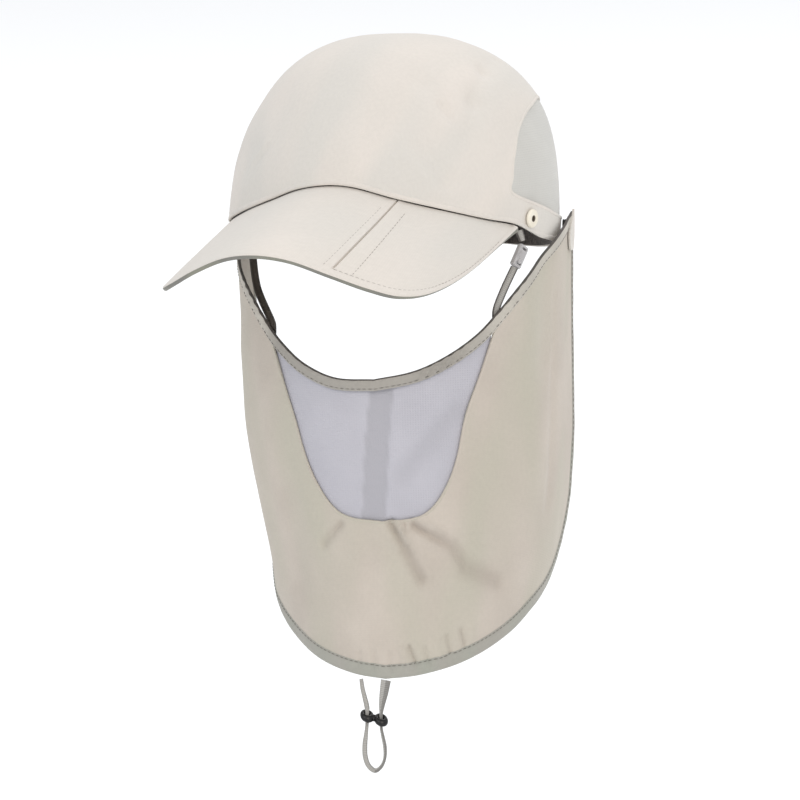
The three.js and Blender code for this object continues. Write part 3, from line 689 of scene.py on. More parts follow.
def sew(name, line):
    """A row of stitches along a line of (place, direction that the cloth faces), in mm."""
    points, faces = [], []
    run, due = 0.0, STITCH_LENGTH / 2
    for (start, out), (end, _) in zip(line, line[1:]):
        step = (end - start).length
        while step > 0 and run + step >= due:
            along = (end - start).normalized()
            side = out.cross(along).normalized()
            middle = start + (end - start) * ((due - run) / step) + out * STITCH_LIFT
            base = len(points)
            for p in stitch_points:
                level = middle + along * p.x * STITCH_LENGTH + side * p.y * STITCH_WIDTH
                points.append((level + out * p.z * STITCH_HEIGHT) * MM)
            faces += [tuple(base + k for k in face) for face in stitch_faces]
            due += STITCH_LENGTH + STITCH_GAP
        run += step
    mesh = bpy.data.meshes.new(name)
    mesh.from_pydata(points, [], faces)
    mesh.uv_layers.new(name="UVMap")
    row = bpy.data.objects.new(name, mesh)
    bpy.context.collection.objects.link(row)
    edit(row, face_out)
    return soften(row, 80)


print("one stitch has", len(stitch_faces), "faces")

# %% [markdown]
# ## Crown
# The front and top of a soft cap are one smooth dome of woven nylon, with no stiff lining. A grid
# wrapped round and closed at the top gives the dome, a wall modifier gives the cloth its thickness,
# and a boolean cuts the openings for the two side panels. The cut edges are then hidden under a
# narrow rolled edge, which is what a turned and sewn edge of thin cloth looks like.

# %% The dome
CROWN_COLUMNS, CROWN_ROWS = 224, 64
CROWN_WALL = 0.9
CROWN_ARC = 146
CROWN_TIP, CROWN_LEVEL, CROWN_FADE = 0.999, 0.97, 0.12


def crown_at(u, v):
    """A place of the dome, and its lift; u runs round from the back, v from the rim to the top."""
    angle = u * 360 - 180
    low = lift_at(angle, rim_height(angle))
    return angle, mix(low, 1, v)


def crown_cloth(u, v):
    angle, lift = crown_at(u, v)
    point = crown_point(angle, lift)
    if v > CROWN_TIP:
        return Vector((0, 0, CROWN_HEIGHT))
    out = crown_out(angle, lift) if lift < CROWN_LEVEL else Vector((0, 0, 1))
    fade = smooth(0, CROWN_FADE, 1 - lift)
    return point + out * crown_relief(point) * fade


def crown_flat(u, v):
    angle, lift = crown_at(u, v)
    a = math.radians(angle)
    reach = (1 - lift) * CROWN_ARC
    return reach * math.sin(a), -reach * math.cos(a)


shell = grid("crown_cloth", CROWN_COLUMNS, CROWN_ROWS, crown_cloth, crown_flat)
edit(shell, weld)
finish_with(shell, "SOLIDIFY", thickness=CROWN_WALL * MM, offset=-1, use_even_offset=True)
print("dome has", len(shell.data.polygons), "faces")

# %% [markdown]
# ## Openings for the side panels
# Each side of the crown has a knitted panel. Its outline is a flat curve seen from the side, so a
# prism of that outline, pushed through the dome from each side, cuts the opening exactly.

# %% The outline and its cutter
# How far back from the cap's middle, and height.
PANEL = [
    (-27, 14.5), (-26.5, 24), (-22, 34), (-10, 47.5), (10, 56.5), (40, 60), (66, 54),
    (83, 36), (88, 12), (88.5, -6.5), (60, -4.5), (30, -1), (5, 5),
]
PANEL_STEPS = 10
PANEL_FROM, PANEL_TO = 12, 110


def ring_run(points, steps):
    """A smooth closed run of places."""
    count = len(points)
    turns = [points[(i - 2) % count] for i in range(count + 4)]
    run = smooth_run(turns, steps)
    return run[2 * steps: (2 + count) * steps]


def outline_moved(run, inward):
    """A flat closed run, moved in by a distance."""
    count = len(run)
    moved = []
    for i, here in enumerate(run):
        along = (run[(i + 1) % count] - run[i - 1]).normalized()
        moved.append(here + Vector((along.y, -along.x)) * inward)
    return moved


panel_run = ring_run([Vector(p) for p in PANEL], PANEL_STEPS)


def prism(name, run, sign):
    """The outline drawn out along X on one side of the cap."""
    mesh = bpy.data.meshes.new(name)
    count = len(run)
    near = [(sign * PANEL_FROM * MM, y * MM, z * MM) for y, z in run]
    far = [(sign * PANEL_TO * MM, y * MM, z * MM) for y, z in run]
    sides = [(i, (i + 1) % count, count + (i + 1) % count, count + i) for i in range(count)]
    mesh.from_pydata(near + far, [], sides + [tuple(range(count)), tuple(range(count, 2 * count))])
    made = bpy.data.objects.new(name, mesh)
    bpy.context.collection.objects.link(made)
    return edit(made, face_out)


def cut(made, cutter):
    """Takes the cutter's space out of a piece, and the cutter away."""
    finish_with(made, "BOOLEAN", operation="DIFFERENCE", object=cutter, solver="EXACT")
    bpy.data.objects.remove(cutter)
    return made


for sign in (1, -1):
    cut(shell, prism("cutter", panel_run, sign))
print("crown with its openings has", len(shell.data.polygons), "faces")

# %% Rolled edges of the openings and of the rim
ROLL = section(1.9, 1.5, 10, 2.6)
HEM_ROLL = section(2.6, 1.6, 12, 2.8)
ROLL_SINK, RIM_ROLL_SINK, RIM_ROLL_RISE = 0.45, 0.5, 1.3
HALVINGS = 26


def crown_angle(y, z, sign):
    """The angle at which the crown's face is y back at height z."""
    low, high = 0.0, 180.0
    for _ in range(HALVINGS):
        middle = (low + high) / 2
        if on_crown(sign * middle, z).y < y:
            low = middle
        else:
            high = middle
    return sign * low


def crown_line(run, sign):
    """The places of a side outline on the crown's face, with the direction it faces."""
    line = []
    for y, z in run:
        angle = crown_angle(y, z, sign)
        lift = lift_at(angle, z)
        point = crown_point(angle, lift)
        out = crown_out(angle, lift)
        line.append((point + out * crown_relief(point), out))
    return line


def roll_along(name, line, profile, closed, sink):
    """A rolled edge: its width lies across the line, and it is sunk into the cloth a little."""
    count = len(line) if closed else len(line) - 1
    wide = max(a for a, _ in profile)

    def put(i, a, b):
        before = line[(i - 1) % len(line)] if closed else line[max(i - 1, 0)]
        after = line[(i + 1) % len(line)] if closed else line[min(i + 1, count)]
        point, out = line[i % len(line)]
        along = (after[0] - before[0]).normalized()
        side = out.cross(along).normalized()
        return point + side * (a - wide / 2) + out * (b - sink)

    return run_of(name, count, profile, put, closed)


rolls = []
for sign in (1, -1):
    line = crown_line(panel_run, sign)
    roll = roll_along("roll", line, ROLL, True, ROLL_SINK)
    edit(roll, face_out)
    rolls.append(roll)

RIM_STEPS = 220


def rim_line(rise):
    line = []
    for i in range(RIM_STEPS):
        angle = 360 * i / RIM_STEPS - 180
        lift = lift_at(angle, rim_height(angle) + rise)
        point = crown_point(angle, lift)
        out = crown_out(angle, lift)
        line.append((point + out * crown_relief(point), out))
    return line


rim_roll = roll_along("rim_roll", rim_line(RIM_ROLL_RISE), HEM_ROLL, True, RIM_ROLL_SINK)
edit(rim_roll, face_out)
shell = soften(joined("crown_cloth", shell, *rolls, rim_roll), 55)
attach(shell, "root")
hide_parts("crown_shell")
print("crown has", len(shell.data.polygons), "faces")

# %% [markdown]
# ## Side panels
# The panels are thin knitted net, sewn in behind the turned edge of the crown. Each is its own grid
# over the panel's outline, laid a little under the crown's face and running under its edge, so no
# light shows through the seam.

# %% Knitted panels
PANEL_ROWS = 20
PANEL_UNDER = 1.05
PANEL_WALL = 0.5
PANEL_OVERLAP = 3.2
PANEL_MIDDLE = (30, 26)
# Back, height, spread, depth of the soft hollows that the tight seam pulls into the knit.
PANEL_HOLLOWS = [(-21, 20, 6, 0.9), (-8, 10, 9, 1.0), (-14, 36, 7, 0.5), (40, 24, 22, 0.8)]
PANEL_SLACK, PANEL_SLACK_SIZE, PANEL_FADE = 0.35, 22, 0.16


def panel_cloth(sign):
    outer = outline_moved(panel_run, -PANEL_OVERLAP)
    count = len(outer)
    middle = Vector(PANEL_MIDDLE)

    def place(u, v):
        edge = outer[round(u * count) % count]
        y, z = middle.lerp(edge, 1 - v)
        angle = crown_angle(y, z, sign)
        lift = lift_at(angle, z)
        point = crown_point(angle, lift)
        out = crown_out(angle, lift)
        hollow = sum(d * math.exp(-(((y - a) ** 2 + (z - b) ** 2) / s ** 2)) for a, b, s, d in PANEL_HOLLOWS)
        slack = PANEL_SLACK * noise.noise(point / PANEL_SLACK_SIZE)
        return point + out * (slack - PANEL_UNDER - hollow * smooth(0, PANEL_FADE, v))

    def flat(u, v):
        return middle.lerp(outer[round(u * count) % count], 1 - v)

    made = grid("side_panel_knit", count, PANEL_ROWS, place, flat)
    edit(made, weld)
    if sign > 0:
        edit(made, lambda: bpy.ops.mesh.flip_normals())
    finish_with(made, "SOLIDIFY", thickness=PANEL_WALL * MM, offset=-1)
    return soften(made, 60)


panels = {}
for side, sign in (("left", 1), ("right", -1)):
    panel = panel_cloth(sign)
    panel.name = panel.data.name = f"side_panel_knit_{side}"
    panels[side] = panel
    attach(panel, "root")
    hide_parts(f"side_panel_{side}")
print("each panel has", len(panel.data.polygons), "faces")

# %% [markdown]
# ## Sweatband
# Inside the rim runs a band of dark towelling. It is the same dome again, a few millimetres further
# in, and only as high as the band, with softly rounded edges.

# %% Towelling band
BAND_ABOVE, BAND_HEIGHT, BAND_OFF, BAND_WALL = 0.4, 26.6, 2.1, 1.1
FUZZ, FUZZ_SIZE = 0.12, 2.2


def band_at(i, a, b):
    angle = 360 * i / RIM_STEPS - 180
    lift = lift_at(angle, rim_height(angle) + BAND_ABOVE + a)
    point = crown_point(angle, lift)
    out = crown_out(angle, lift)
    fuzz = FUZZ * noise.noise(point / FUZZ_SIZE)
    return point + out * (b - BAND_OFF - BAND_WALL / 2 + (fuzz if b < 0 else 0))


band = run_of("sweatband_towel", RIM_STEPS, section(BAND_HEIGHT, BAND_WALL, 36, 8), band_at, closed=True)
edit(band, face_out)
soften(band, 70)
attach(band, "root")
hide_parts("sweatband")
print("sweatband has", len(band.data.polygons), "faces")

# %% [markdown]
# ## Peak
# The peak is a soft plastic board wrapped in the crown's cloth. It can be folded along a line, and
# that line shows as a dark slit with a row of stitches on each side. Its free edge is bound. One
# grid goes over its top, round the edge and back under, so the edge is round with no bevel, and five
# of its columns are drawn together along the fold to give the slit its own two walls.

# %% The peak, with its fold and bound edge
PEAK_COLUMNS = 150
PEAK_TOP_ROWS, PEAK_EDGE_ROWS, PEAK_UNDER_ROWS = 56, 8, 30
FOLD_COLUMN = 102
FOLD_START, FOLD_END, FOLD_REACH, FOLD_PAST = 0.392, 0.3, 0.92, 1.15
FOLD_HALF = 0.0052
FOLD_DEPTH = 1.5
FOLD_LIPS = 0.016
PEAK_FLAT_WIDTH, PEAK_FLAT_LENGTH = 170, 80
# Mm down the flat pattern between which the round edge, where it faces down, gets painted shade.
PEAK_SHADE_FROM, PEAK_SHADE_TO = 81.2, 84.4
BOUND_EDGE = 6.0
BOUND_RISE = 0.35
FOLD_SEAMS = (-3.9, 7)
SEAM_FROM, SEAM_TO, SEAM_FADE = 0.12, 0.93, 0.05
# Mm of cloth across the fold for the whole share of the seam.
FOLD_SCALE = 100
# Height and half width of the seams' channels, of the fold's lips and of the board's waves.
CHANNEL, CHANNEL_HALF = -0.35, 0.8
LIP, LIP_HALF = 0.3, 2.2
WAVE, WAVE_SIZE, WAVE_FADE = 0.35, 45, 0.1
# The bound edge's rise: over how many mm it starts, and over which shares of the seam.
BOUND_START, BOUND_SHARES = (-0.7, 0.2), (0.28, 0.5)
PEAK_ROWS = PEAK_TOP_ROWS + PEAK_EDGE_ROWS + PEAK_UNDER_ROWS


def fold_share(v):
    return mix(FOLD_START, FOLD_END, min(v / FOLD_REACH, FOLD_PAST))


def peak_share(column, v):
    """The share of the seam for a column of the grid, with columns drawn together at the fold."""
    fold = fold_share(v)
    near = {-2: -FOLD_LIPS, -1: -FOLD_HALF, 0: 0, 1: FOLD_HALF, 2: FOLD_LIPS}
    step = column - FOLD_COLUMN
    if step in near:
        return fold + near[step]
    if step < 0:
        return mix(-1, fold - FOLD_LIPS, column / (FOLD_COLUMN - 2))
    return mix(fold + FOLD_LIPS, 1, (step - 2) / (PEAK_COLUMNS - FOLD_COLUMN - 2))


def peak_relief(share, v):
    """The bound edge's rise, the seams' soft channels and the board's slight waves, on the top."""
    from_edge = (1 - v) * peak_length(share)
    from_fold = (share - fold_share(v)) * FOLD_SCALE
    bound = 1 - smooth(BOUND_EDGE + BOUND_START[0], BOUND_EDGE + BOUND_START[1], from_edge)
    rise = BOUND_RISE * bound * smooth(*BOUND_SHARES, share)
    near_seam = sum(math.exp(-(((from_fold - seam) / CHANNEL_HALF) ** 2)) for seam in FOLD_SEAMS)
    sewn = smooth(SEAM_FROM - SEAM_FADE, SEAM_FROM, v)
    channel = CHANNEL * near_seam * sewn * (1 - smooth(SEAM_TO - SEAM_FADE, SEAM_TO, v))
    folded = 1 - smooth(FOLD_REACH - SEAM_FADE, FOLD_REACH, v)
    lips = LIP * math.exp(-((from_fold / LIP_HALF) ** 2)) * folded
    wave = WAVE * noise.noise(peak_top(share, v) / WAVE_SIZE) * smooth(0, WAVE_FADE, v)
    return rise + channel + lips + wave


def peak_cloth(u, w):
    column = round(u * PEAK_COLUMNS)
    row = round((1 - w) * PEAK_ROWS)
    half = PEAK_THICKNESS / 2
    over = row <= PEAK_TOP_ROWS
    share = peak_share(column, row / PEAK_TOP_ROWS if over else 1)
    if row > PEAK_TOP_ROWS + PEAK_EDGE_ROWS:
        share = peak_share(column, (PEAK_ROWS - row) / PEAK_UNDER_ROWS)
    edge_v = 1 - min(half / peak_length(share), 0.5)
    if over:
        v = row / PEAK_TOP_ROWS * edge_v
        slit = column == FOLD_COLUMN and v < FOLD_REACH
        return peak_top(share, v) + peak_out(share, v) * (peak_relief(share, v) - (FOLD_DEPTH if slit else 0))
    if row < PEAK_TOP_ROWS + PEAK_EDGE_ROWS:
        turn = (row - PEAK_TOP_ROWS) / PEAK_EDGE_ROWS * math.pi
        out = peak_out(share, edge_v)
        ahead = (peak_top(share, 1) - peak_top(share, edge_v - 0.01)).normalized()
        rise = peak_relief(share, edge_v) * (1 + math.cos(turn)) / 2
        middle = peak_top(share, edge_v) - out * half
        return middle + ahead * half * math.sin(turn) + out * (half * math.cos(turn) + rise)
    v = (PEAK_ROWS - row) / PEAK_UNDER_ROWS * edge_v
    return peak_top(share, v) - peak_out(share, v) * PEAK_THICKNESS


def peak_flat(u, w):
    row = (1 - w) * PEAK_ROWS
    over = min(row / PEAK_TOP_ROWS, 1)
    round_it = min(max((row - PEAK_TOP_ROWS) / PEAK_EDGE_ROWS, 0), 1)
    under = max((row - PEAK_TOP_ROWS - PEAK_EDGE_ROWS) / PEAK_UNDER_ROWS, 0)
    down = (over + under) * PEAK_FLAT_LENGTH + round_it * math.pi / 2 * PEAK_THICKNESS
    return u * PEAK_FLAT_WIDTH, down


peak = grid("peak_cloth", PEAK_COLUMNS, PEAK_ROWS, peak_cloth, peak_flat)
edit(peak, close_ends)
peak_round = flat_end(peak, 1)
# The lower part of the round edge gets painted shade.
second_finish(peak, lambda along, across: PEAK_SHADE_FROM < across * peak_round < PEAK_SHADE_TO)
soften(peak, 60)
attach(peak, "root")
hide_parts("peak")
print("peak has", len(peak.data.polygons), "faces")

# %% Stitches of the peak
def peak_line(places):
    """Places of the peak's top, as (share, v), with the direction that it faces."""
    line = []
    for share, v in places:
        out = peak_out(share, v)
        line.append((peak_top(share, v) + out * peak_relief(share, v), out))
    return line


SEAM_STEPS, EDGE_STEPS = 60, 180
EDGE_SEAM_FROM, EDGE_SEAM_TO, EDGE_SEAM_CLEAR = 0.3, 0.95, 0.03
fold_seams = []
for seam in FOLD_SEAMS:
    rows = [mix(SEAM_FROM, SEAM_TO, k / SEAM_STEPS) for k in range(SEAM_STEPS + 1)]
    places = [(fold_share(v) + seam / FOLD_SCALE, v) for v in rows]
    fold_seams.append(sew("fold_seam", peak_line(places)))
edge_places = []
for k in range(EDGE_STEPS + 1):
    share = mix(EDGE_SEAM_FROM, EDGE_SEAM_TO, k / EDGE_STEPS)
    edge_places.append((share, 1 - BOUND_EDGE / peak_length(share)))
fold_seams.append(sew("edge_seam", peak_line([p for p in edge_places if p[1] > EDGE_SEAM_CLEAR])))
peak_stitches = joined("peak_stitches", *fold_seams)
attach(peak_stitches, "root")
print("peak stitches have", len(peak_stitches.data.polygons), "faces")

# %% [markdown]
# ## Flap
# The flap is one sheet of the same nylon, drawn a little darker as painted shade, with a U-shaped
# opening in front of the mouth. It is a closed wall over the flat cloth's outline, and the opening is
# cut by a thicker wall of its own outline, so that the cut stands square to the cloth. Its outer edges
# end in the bindings.

# %% The sheet and its opening
SHEET_COLUMNS, SHEET_ROWS = 250, 160
SHEET_WALL = 0.9
IN_BANDS = 3.2
VENT = [
    (-153, 0), (-151.5, 0.1), (-147, 0.165), (-135, 0.222), (-120, 0.26), (-100, 0.289),
    (-80, 0.337), (-50, 0.408),
]
VENT_OVER = 12
VENT_STEPS = 44
VENT_MARGIN, CUTTER_COLUMNS, CUTTER_WALL = 0.2, 40, 10


def sheet_at(u, v):
    share = (2 * u - 1) * (1 - IN_BANDS / HALF_SPAN)
    return share * HALF_SPAN, mix(flap_bottom(share) + IN_BANDS, flap_top(share) - IN_BANDS, v)


def vent_edge(v):
    """The left half of the opening's edge in the flat cloth, from its tip at v = 0 upwards."""
    z = mix(VENT[0][0], VENT[-1][0] + VENT_OVER, v * v)
    return Vector((math.copysign(read(VENT, z), v) * HALF_SPAN, z))


def vent_moved(v, margin):
    """The same edge, moved outwards."""
    step = 0.5 / VENT_STEPS
    along = (vent_edge(v + step) - vent_edge(v - step)).normalized()
    return vent_edge(v) + Vector((along.y, -along.x)) * margin


def vent_cutter_at(u, v):
    edge = vent_moved(v, VENT_MARGIN)
    return flap_point((2 * u - 1) * edge.x, edge.y, folded=False)


flap = grid("flap_cloth", SHEET_COLUMNS, SHEET_ROWS, lambda u, v: flap_point(*sheet_at(u, v)), sheet_at)
finish_with(flap, "SOLIDIFY", thickness=SHEET_WALL * MM, offset=0)
cutter = grid("vent_cutter", CUTTER_COLUMNS, VENT_STEPS, vent_cutter_at, lambda u, v: (u, v))
edit(cutter, weld)
finish_with(cutter, "SOLIDIFY", thickness=CUTTER_WALL * MM, offset=0)
edit(cutter, face_out)
cut(flap, cutter)
print("sheet with its opening has", len(flap.data.polygons), "faces")

# %% Its grooves' painted shade and the opening's rolled edge
# How dark the painted shade of the deepest groove gets, and how narrow and deep a groove must be for it.
FOLD_SHADE, SHADED_SPREAD, SHADED_DEPTH, DEEPEST = 0.4, 7, -1.25, 3.2
SHADED = [line for line in FOLD_LINES if line[2] < SHADED_SPREAD and line[3] < SHADED_DEPTH]


def fold_shade(x, z):
    """How much painted shade a place of the flat cloth gets from the narrow grooves it lies in."""
    place = Vector((x, z))
    return FOLD_SHADE * max(
        -h / DEEPEST * math.exp(-((to_line(place, a, b) / s) ** 2)) for a, b, s, h in SHADED
    )


def flap_line(places):
    """Places of the flat cloth on the hanging flap, with the direction that it faces."""
    return [(flap_point(x, z), flap_out(x, z)) for x, z in places]


def vent_run(margin):
    """The opening's whole edge in the flat cloth, from the wearer's right down and up to the left."""
    half = [vent_moved(k / VENT_STEPS / 2, margin) for k in range(2 * VENT_STEPS + 1)]
    whole = [Vector((-p.x, p.y)) for p in reversed(half[1:])] + half
    return [p for p in whole if p.y < flap_top(p.x / HALF_SPAN) - IN_BANDS]


VENT_ROLL = section(1.7, 1.3, 10, 2.4)
VENT_ROLL_OUT, VENT_ROLL_SINK = 0.9, 0.1
vent_line = flap_line(vent_run(VENT_ROLL_OUT))
vent_roll = roll_along("vent_roll", vent_line, VENT_ROLL, False, VENT_ROLL_SINK)
edit(vent_roll, face_out)
flap = soften(joined("flap_cloth", flap, vent_roll), 60)
# Painted shade in the flap's narrow grooves.
tone(flap, "painted_shade", fold_shade)
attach(flap, "root")
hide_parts("flap_sheet")
print("flap has", len(flap.data.polygons), "faces")

# %% [markdown]
# ## Breathing panel
# The opening is filled with fine knitted net. It is a little larger than the opening and lies just
# behind the sheet, as a sewn-in panel does. A flat pleat runs down its middle, one slack fold slants
# across it, and two fainter ones lie beside that.

# %% Knitted net behind the opening
NET_COLUMNS, NET_ROWS = 110, 90
NET_UNDER = 1.05
NET_WALL = 0.5
NET_OVERLAP = 3.4
NET_REACH = 70.5
PLEAT_LEFT, PLEAT_LEFT_SLOPE = -3.2, 0.15
PLEAT_RIGHT, PLEAT_RIGHT_SLOPE = 10.6, 0.127
PLEAT_TOP = -88
PLEAT_DEPTH = 0.9
PLEAT_SOFT_LEFT, PLEAT_SOFT_RIGHT = 0.5, 0.7
NET_SHADE = 0.45
# How steeply the folds rise from the panel's lower edge and from its two sides.
NET_RISE_UP, NET_RISE_IN = 6, 12
NET_EDGE_STEPS, NET_EDGE_GAP = 60, 0.05
NET_FOLDS = [(48, -96, 15, -129, 6, -1.8), (40, -84, 52, -100, 5, 0.6), (-34, -80, -30, -130, 12, 0.5)]
NET_LINES = [(Vector((x, y)), Vector((a, b)), s, h) for x, y, a, b, s, h in NET_FOLDS]
net_edge = [vent_moved(k / NET_EDGE_STEPS, NET_OVERLAP) for k in range(NET_EDGE_STEPS + 1)]
net_low = sorted((p.x, p.y) for p in net_edge)
net_low = [net_low[0]] + [b for a, b in zip(net_low, net_low[1:]) if b[0] - a[0] > NET_EDGE_GAP]


def net_at(u, v):
    x = NET_REACH * math.sin(math.pi / 2 * (2 * u - 1))
    low = read(net_low, abs(x))
    high = flap_top(x / HALF_SPAN) - IN_BANDS
    return x, mix(min(low, high - 1), high, v)


def net_pleat(x, z):
    """1 on the flat pleat down the middle, where the net lies in two layers, and 0 beside it."""
    left = PLEAT_LEFT + PLEAT_LEFT_SLOPE * (z - PLEAT_TOP)
    right = PLEAT_RIGHT + PLEAT_RIGHT_SLOPE * (z - PLEAT_TOP)
    begins = smooth(left - PLEAT_SOFT_LEFT, left + PLEAT_SOFT_LEFT, x)
    return begins - smooth(right - PLEAT_SOFT_RIGHT, right + PLEAT_SOFT_RIGHT, x)


def net_shade(x, z):
    """Painted shade along the net's slack fold, where it lies close to what is behind it."""
    a, b, spread, _ = NET_LINES[0]
    return NET_SHADE * math.exp(-((to_line(Vector((x, z)), a, b) / spread) ** 2))


def net_relief(x, z):
    place = Vector((x, z))
    folds = sum(h * math.exp(-((to_line(place, a, b) / s) ** 2)) for a, b, s, h in NET_LINES)
    return folds - PLEAT_DEPTH * net_pleat(x, z)


def net_cloth(u, v):
    x, z = net_at(u, v)
    inside = min(v * NET_RISE_UP, 1, (1 - abs(2 * u - 1)) * NET_RISE_IN)
    return flap_point(x, z) + flap_out(x, z) * (net_relief(x, z) * inside - NET_UNDER)


net = grid("flap_vent_net", NET_COLUMNS, NET_ROWS, net_cloth, net_at)
finish_with(net, "SOLIDIFY", thickness=NET_WALL * MM, offset=-1)
# Darker on the pleat, and painted shade along the slack fold.
tone(net, "pleat_and_painted_shade", lambda x, z: net_pleat(x, z) + net_shade(x, z))
soften(net, 60)
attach(net, "root")
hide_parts("flap_vent")
print("net has", len(net.data.polygons), "faces")

# %% [markdown]
# ## Bindings
# The flap's upper edge is folded over an elastic tape, and its sides and lower edge are a wider
# channel for the drawcord. Both are soft flattened bars that follow the edge of the cloth. Where the
# elastic gathers the upper edge, the bar is ruffled slantwise.

# %% Upper binding
TOP_WIDTH, TOP_WALL, TOP_STEPS = 6.2, 2.0, 360
# Along the cloth: from, to, and depth of the gathers.
GATHERS = [(20, 58, 0.75), (64, 100, 0.3), (-110, -70, 0.3), (-62, 16, 0.16)]
GATHER_PITCH, GATHER_SLANT, GATHER_FADE, GATHER_INSIDE = 6.2, 1.1, 8, 0.3
# Shares round the bar between which its top edge and inner face get painted shade.
BINDING_SHADE_FROM, BINDING_SHADE_TO = 0.36, 0.98
# Shares along the bar between which it gets painted shade, and looks greyer.
BAND_GREY_LEFT, BAND_GREY_RIGHT = (0.27, 0.4), (0.66, 0.72)


def binding_shade_faces(along, across):
    """The faces of the upper binding that get painted shade: its top edge and its inner face."""
    return BINDING_SHADE_FROM < across < BINDING_SHADE_TO


def edge_frame(run, i):
    """The direction into the cloth at place i of a run in the flat cloth."""
    along = (run[min(i + 2, len(run) - 1)] - run[max(i - 2, 0)]).normalized()
    return Vector((-along.y, along.x))


def ruffle(along, a):
    depth = sum(
        d * smooth(low, low + GATHER_FADE, along) * (1 - smooth(high - GATHER_FADE, high, along))
        for low, high, d in GATHERS
    )
    return depth * math.sin(2 * math.pi * (along + GATHER_SLANT * a) / GATHER_PITCH)


top_run = [
    Vector((share * HALF_SPAN, flap_top(share)))
    for share in (1 - 2 * k / TOP_STEPS for k in range(TOP_STEPS + 1))
]


def top_at(i, a, b):
    inward = edge_frame(top_run, i)
    x, z = top_run[i] + inward * a
    ruffled = ruffle(x, a) * (1 if b > 0 else GATHER_INSIDE)
    return flap_point(x, z) + flap_out(x, z) * b * (1 + ruffled)


top_band = run_of("flap_top_band", TOP_STEPS, section(TOP_WIDTH, TOP_WALL, 20, 3), top_at)
edit(top_band, face_out)
second_finish(top_band, binding_shade_faces)
band_length = flat_end(top_band, 0)


def band_grey(x, _):
    """How much painted shade the binding gets, along its length."""
    share = x / band_length
    return smooth(*BAND_GREY_LEFT, share) * (1 - smooth(*BAND_GREY_RIGHT, share))


# Painted shade along the binding's middle.
tone(top_band, "painted_shade", band_grey)
soften(top_band, 60)
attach(top_band, "root")
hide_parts("flap_top_binding")
print("upper binding has", len(top_band.data.polygons), "faces")

# %% Hem channel
HEM_WIDTH, HEM_WALL = 7.5, 2.1
HEM_BOTTOM, HEM_SIDE = 260, 60
HEM_START = TOP_WIDTH + 0.2
HEM_PUFF, HEM_PUFF_ALONG, HEM_PUFF_ACROSS = 0.16, 7, 9


def side_run(share, i):
    return Vector((share * HALF_SPAN, mix(flap_top(share) - HEM_START, flap_bottom(share), i / HEM_SIDE)))


hem_run = [side_run(-1, i) for i in range(HEM_SIDE)]
for k in range(HEM_BOTTOM + 1):
    share = -math.cos(math.pi * k / HEM_BOTTOM)
    hem_run.append(Vector((share * HALF_SPAN, flap_bottom(share))))
hem_run += [side_run(1, i) for i in reversed(range(HEM_SIDE))]


def hem_at(i, a, b):
    x, z = hem_run[i] + edge_frame(hem_run, i) * a
    place = Vector((x / HEM_PUFF_ALONG, z / HEM_PUFF_ALONG, a / HEM_PUFF_ACROSS))
    puff = 1 + HEM_PUFF * noise.noise(place)
    return flap_point(x, z) + flap_out(x, z) * b * puff


hem = run_of("flap_hem_channel", len(hem_run) - 1, section(HEM_WIDTH, HEM_WALL, 20, 3), hem_at)
edit(hem, face_out)
soften(hem, 60)
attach(hem, "root")
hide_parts("flap_hem")
print("hem has", len(hem.data.polygons), "faces")

# %% Stitches of the flap
# Each seam's place in from the edge, and its height as a share of the bar's thickness.
TOP_SEAM, HEM_SEAM, SEAM_SHARE = 5.0, 6.6, 0.46


def seam_line(run, inside, lift):
    line = []
    for i in range(len(run)):
        x, z = run[i] + edge_frame(run, i) * inside
        out = flap_out(x, z)
        line.append((flap_point(x, z) + out * lift, out))
    return line


top_seam = sew("top_seam", seam_line(top_run, TOP_SEAM, TOP_WALL * SEAM_SHARE))
hem_seam = sew("hem_seam", seam_line(hem_run, HEM_SEAM, HEM_WALL * SEAM_SHARE))
flap_stitches = joined("flap_stitches", top_seam, hem_seam)
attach(flap_stitches, "root")
print("flap stitches have", len(flap_stitches.data.polygons), "faces")

# %% [markdown]
# ## Corner tabs
# At each rear corner the binding's end is folded over into a small leaf with a pointed top and a round
# lower end. It is a grid between its upper and lower outline, laid on the outside of the corner.

# %% Folded tabs
TAB_SHARE, TAB_HALF_SHARE = 0.905, 0.064
# Place across the tab from its front to its back, and its upper and lower end there.
TAB_OUTLINE = [
    (-1, -9.5, -12.5), (-0.7, -7, -17.5), (-0.3, -4, -19.5), (0.4, -0.5, -19.5), (0.7, 1.5, -18.5),
    (1, -5, -12.5),
]
TAB_WALL = 1.1
TAB_OFF = TOP_WALL / 2 + 0.35
TAB_BULGE, TAB_ROUND = 0.5, 0.4


def round_off(made, width, segments, degrees):
    """Rounds the edges where two faces meet at more than some degrees."""
    limit = math.radians(degrees)
    finish_with(
        made, "BEVEL", width=width * MM, segments=segments, limit_method="ANGLE", angle_limit=limit
    )


def tab(sign):
    def at(u, v):
        across = 2 * u - 1
        z = mix(read(TAB_OUTLINE, sign * across, 2), read(TAB_OUTLINE, sign * across, 1), v)
        return (sign * TAB_SHARE + across * TAB_HALF_SHARE) * HALF_SPAN, z

    def place(u, v):
        x, z = at(u, v)
        bulge = TAB_BULGE * (1 - (2 * u - 1) ** 2) * (1 - (2 * v - 1) ** 2)
        return flap_point(x, z) + flap_out(x, z) * (TAB_OFF + bulge)

    made = grid("corner_tab", 30, 20, place, at)
    finish_with(made, "SOLIDIFY", thickness=TAB_WALL * MM, offset=0.2)
    round_off(made, TAB_ROUND, 3, 50)
    return soften(made, 60)


tabs = {}
for side, sign in (("left", 1), ("right", -1)):
    made = tab(sign)
    made.name = made.data.name = f"corner_tab_cloth_{side}"
    tabs[side] = made
    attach(made, "root")
    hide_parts(f"corner_tab_{side}")
print("each tab has", len(made.data.polygons), "faces")
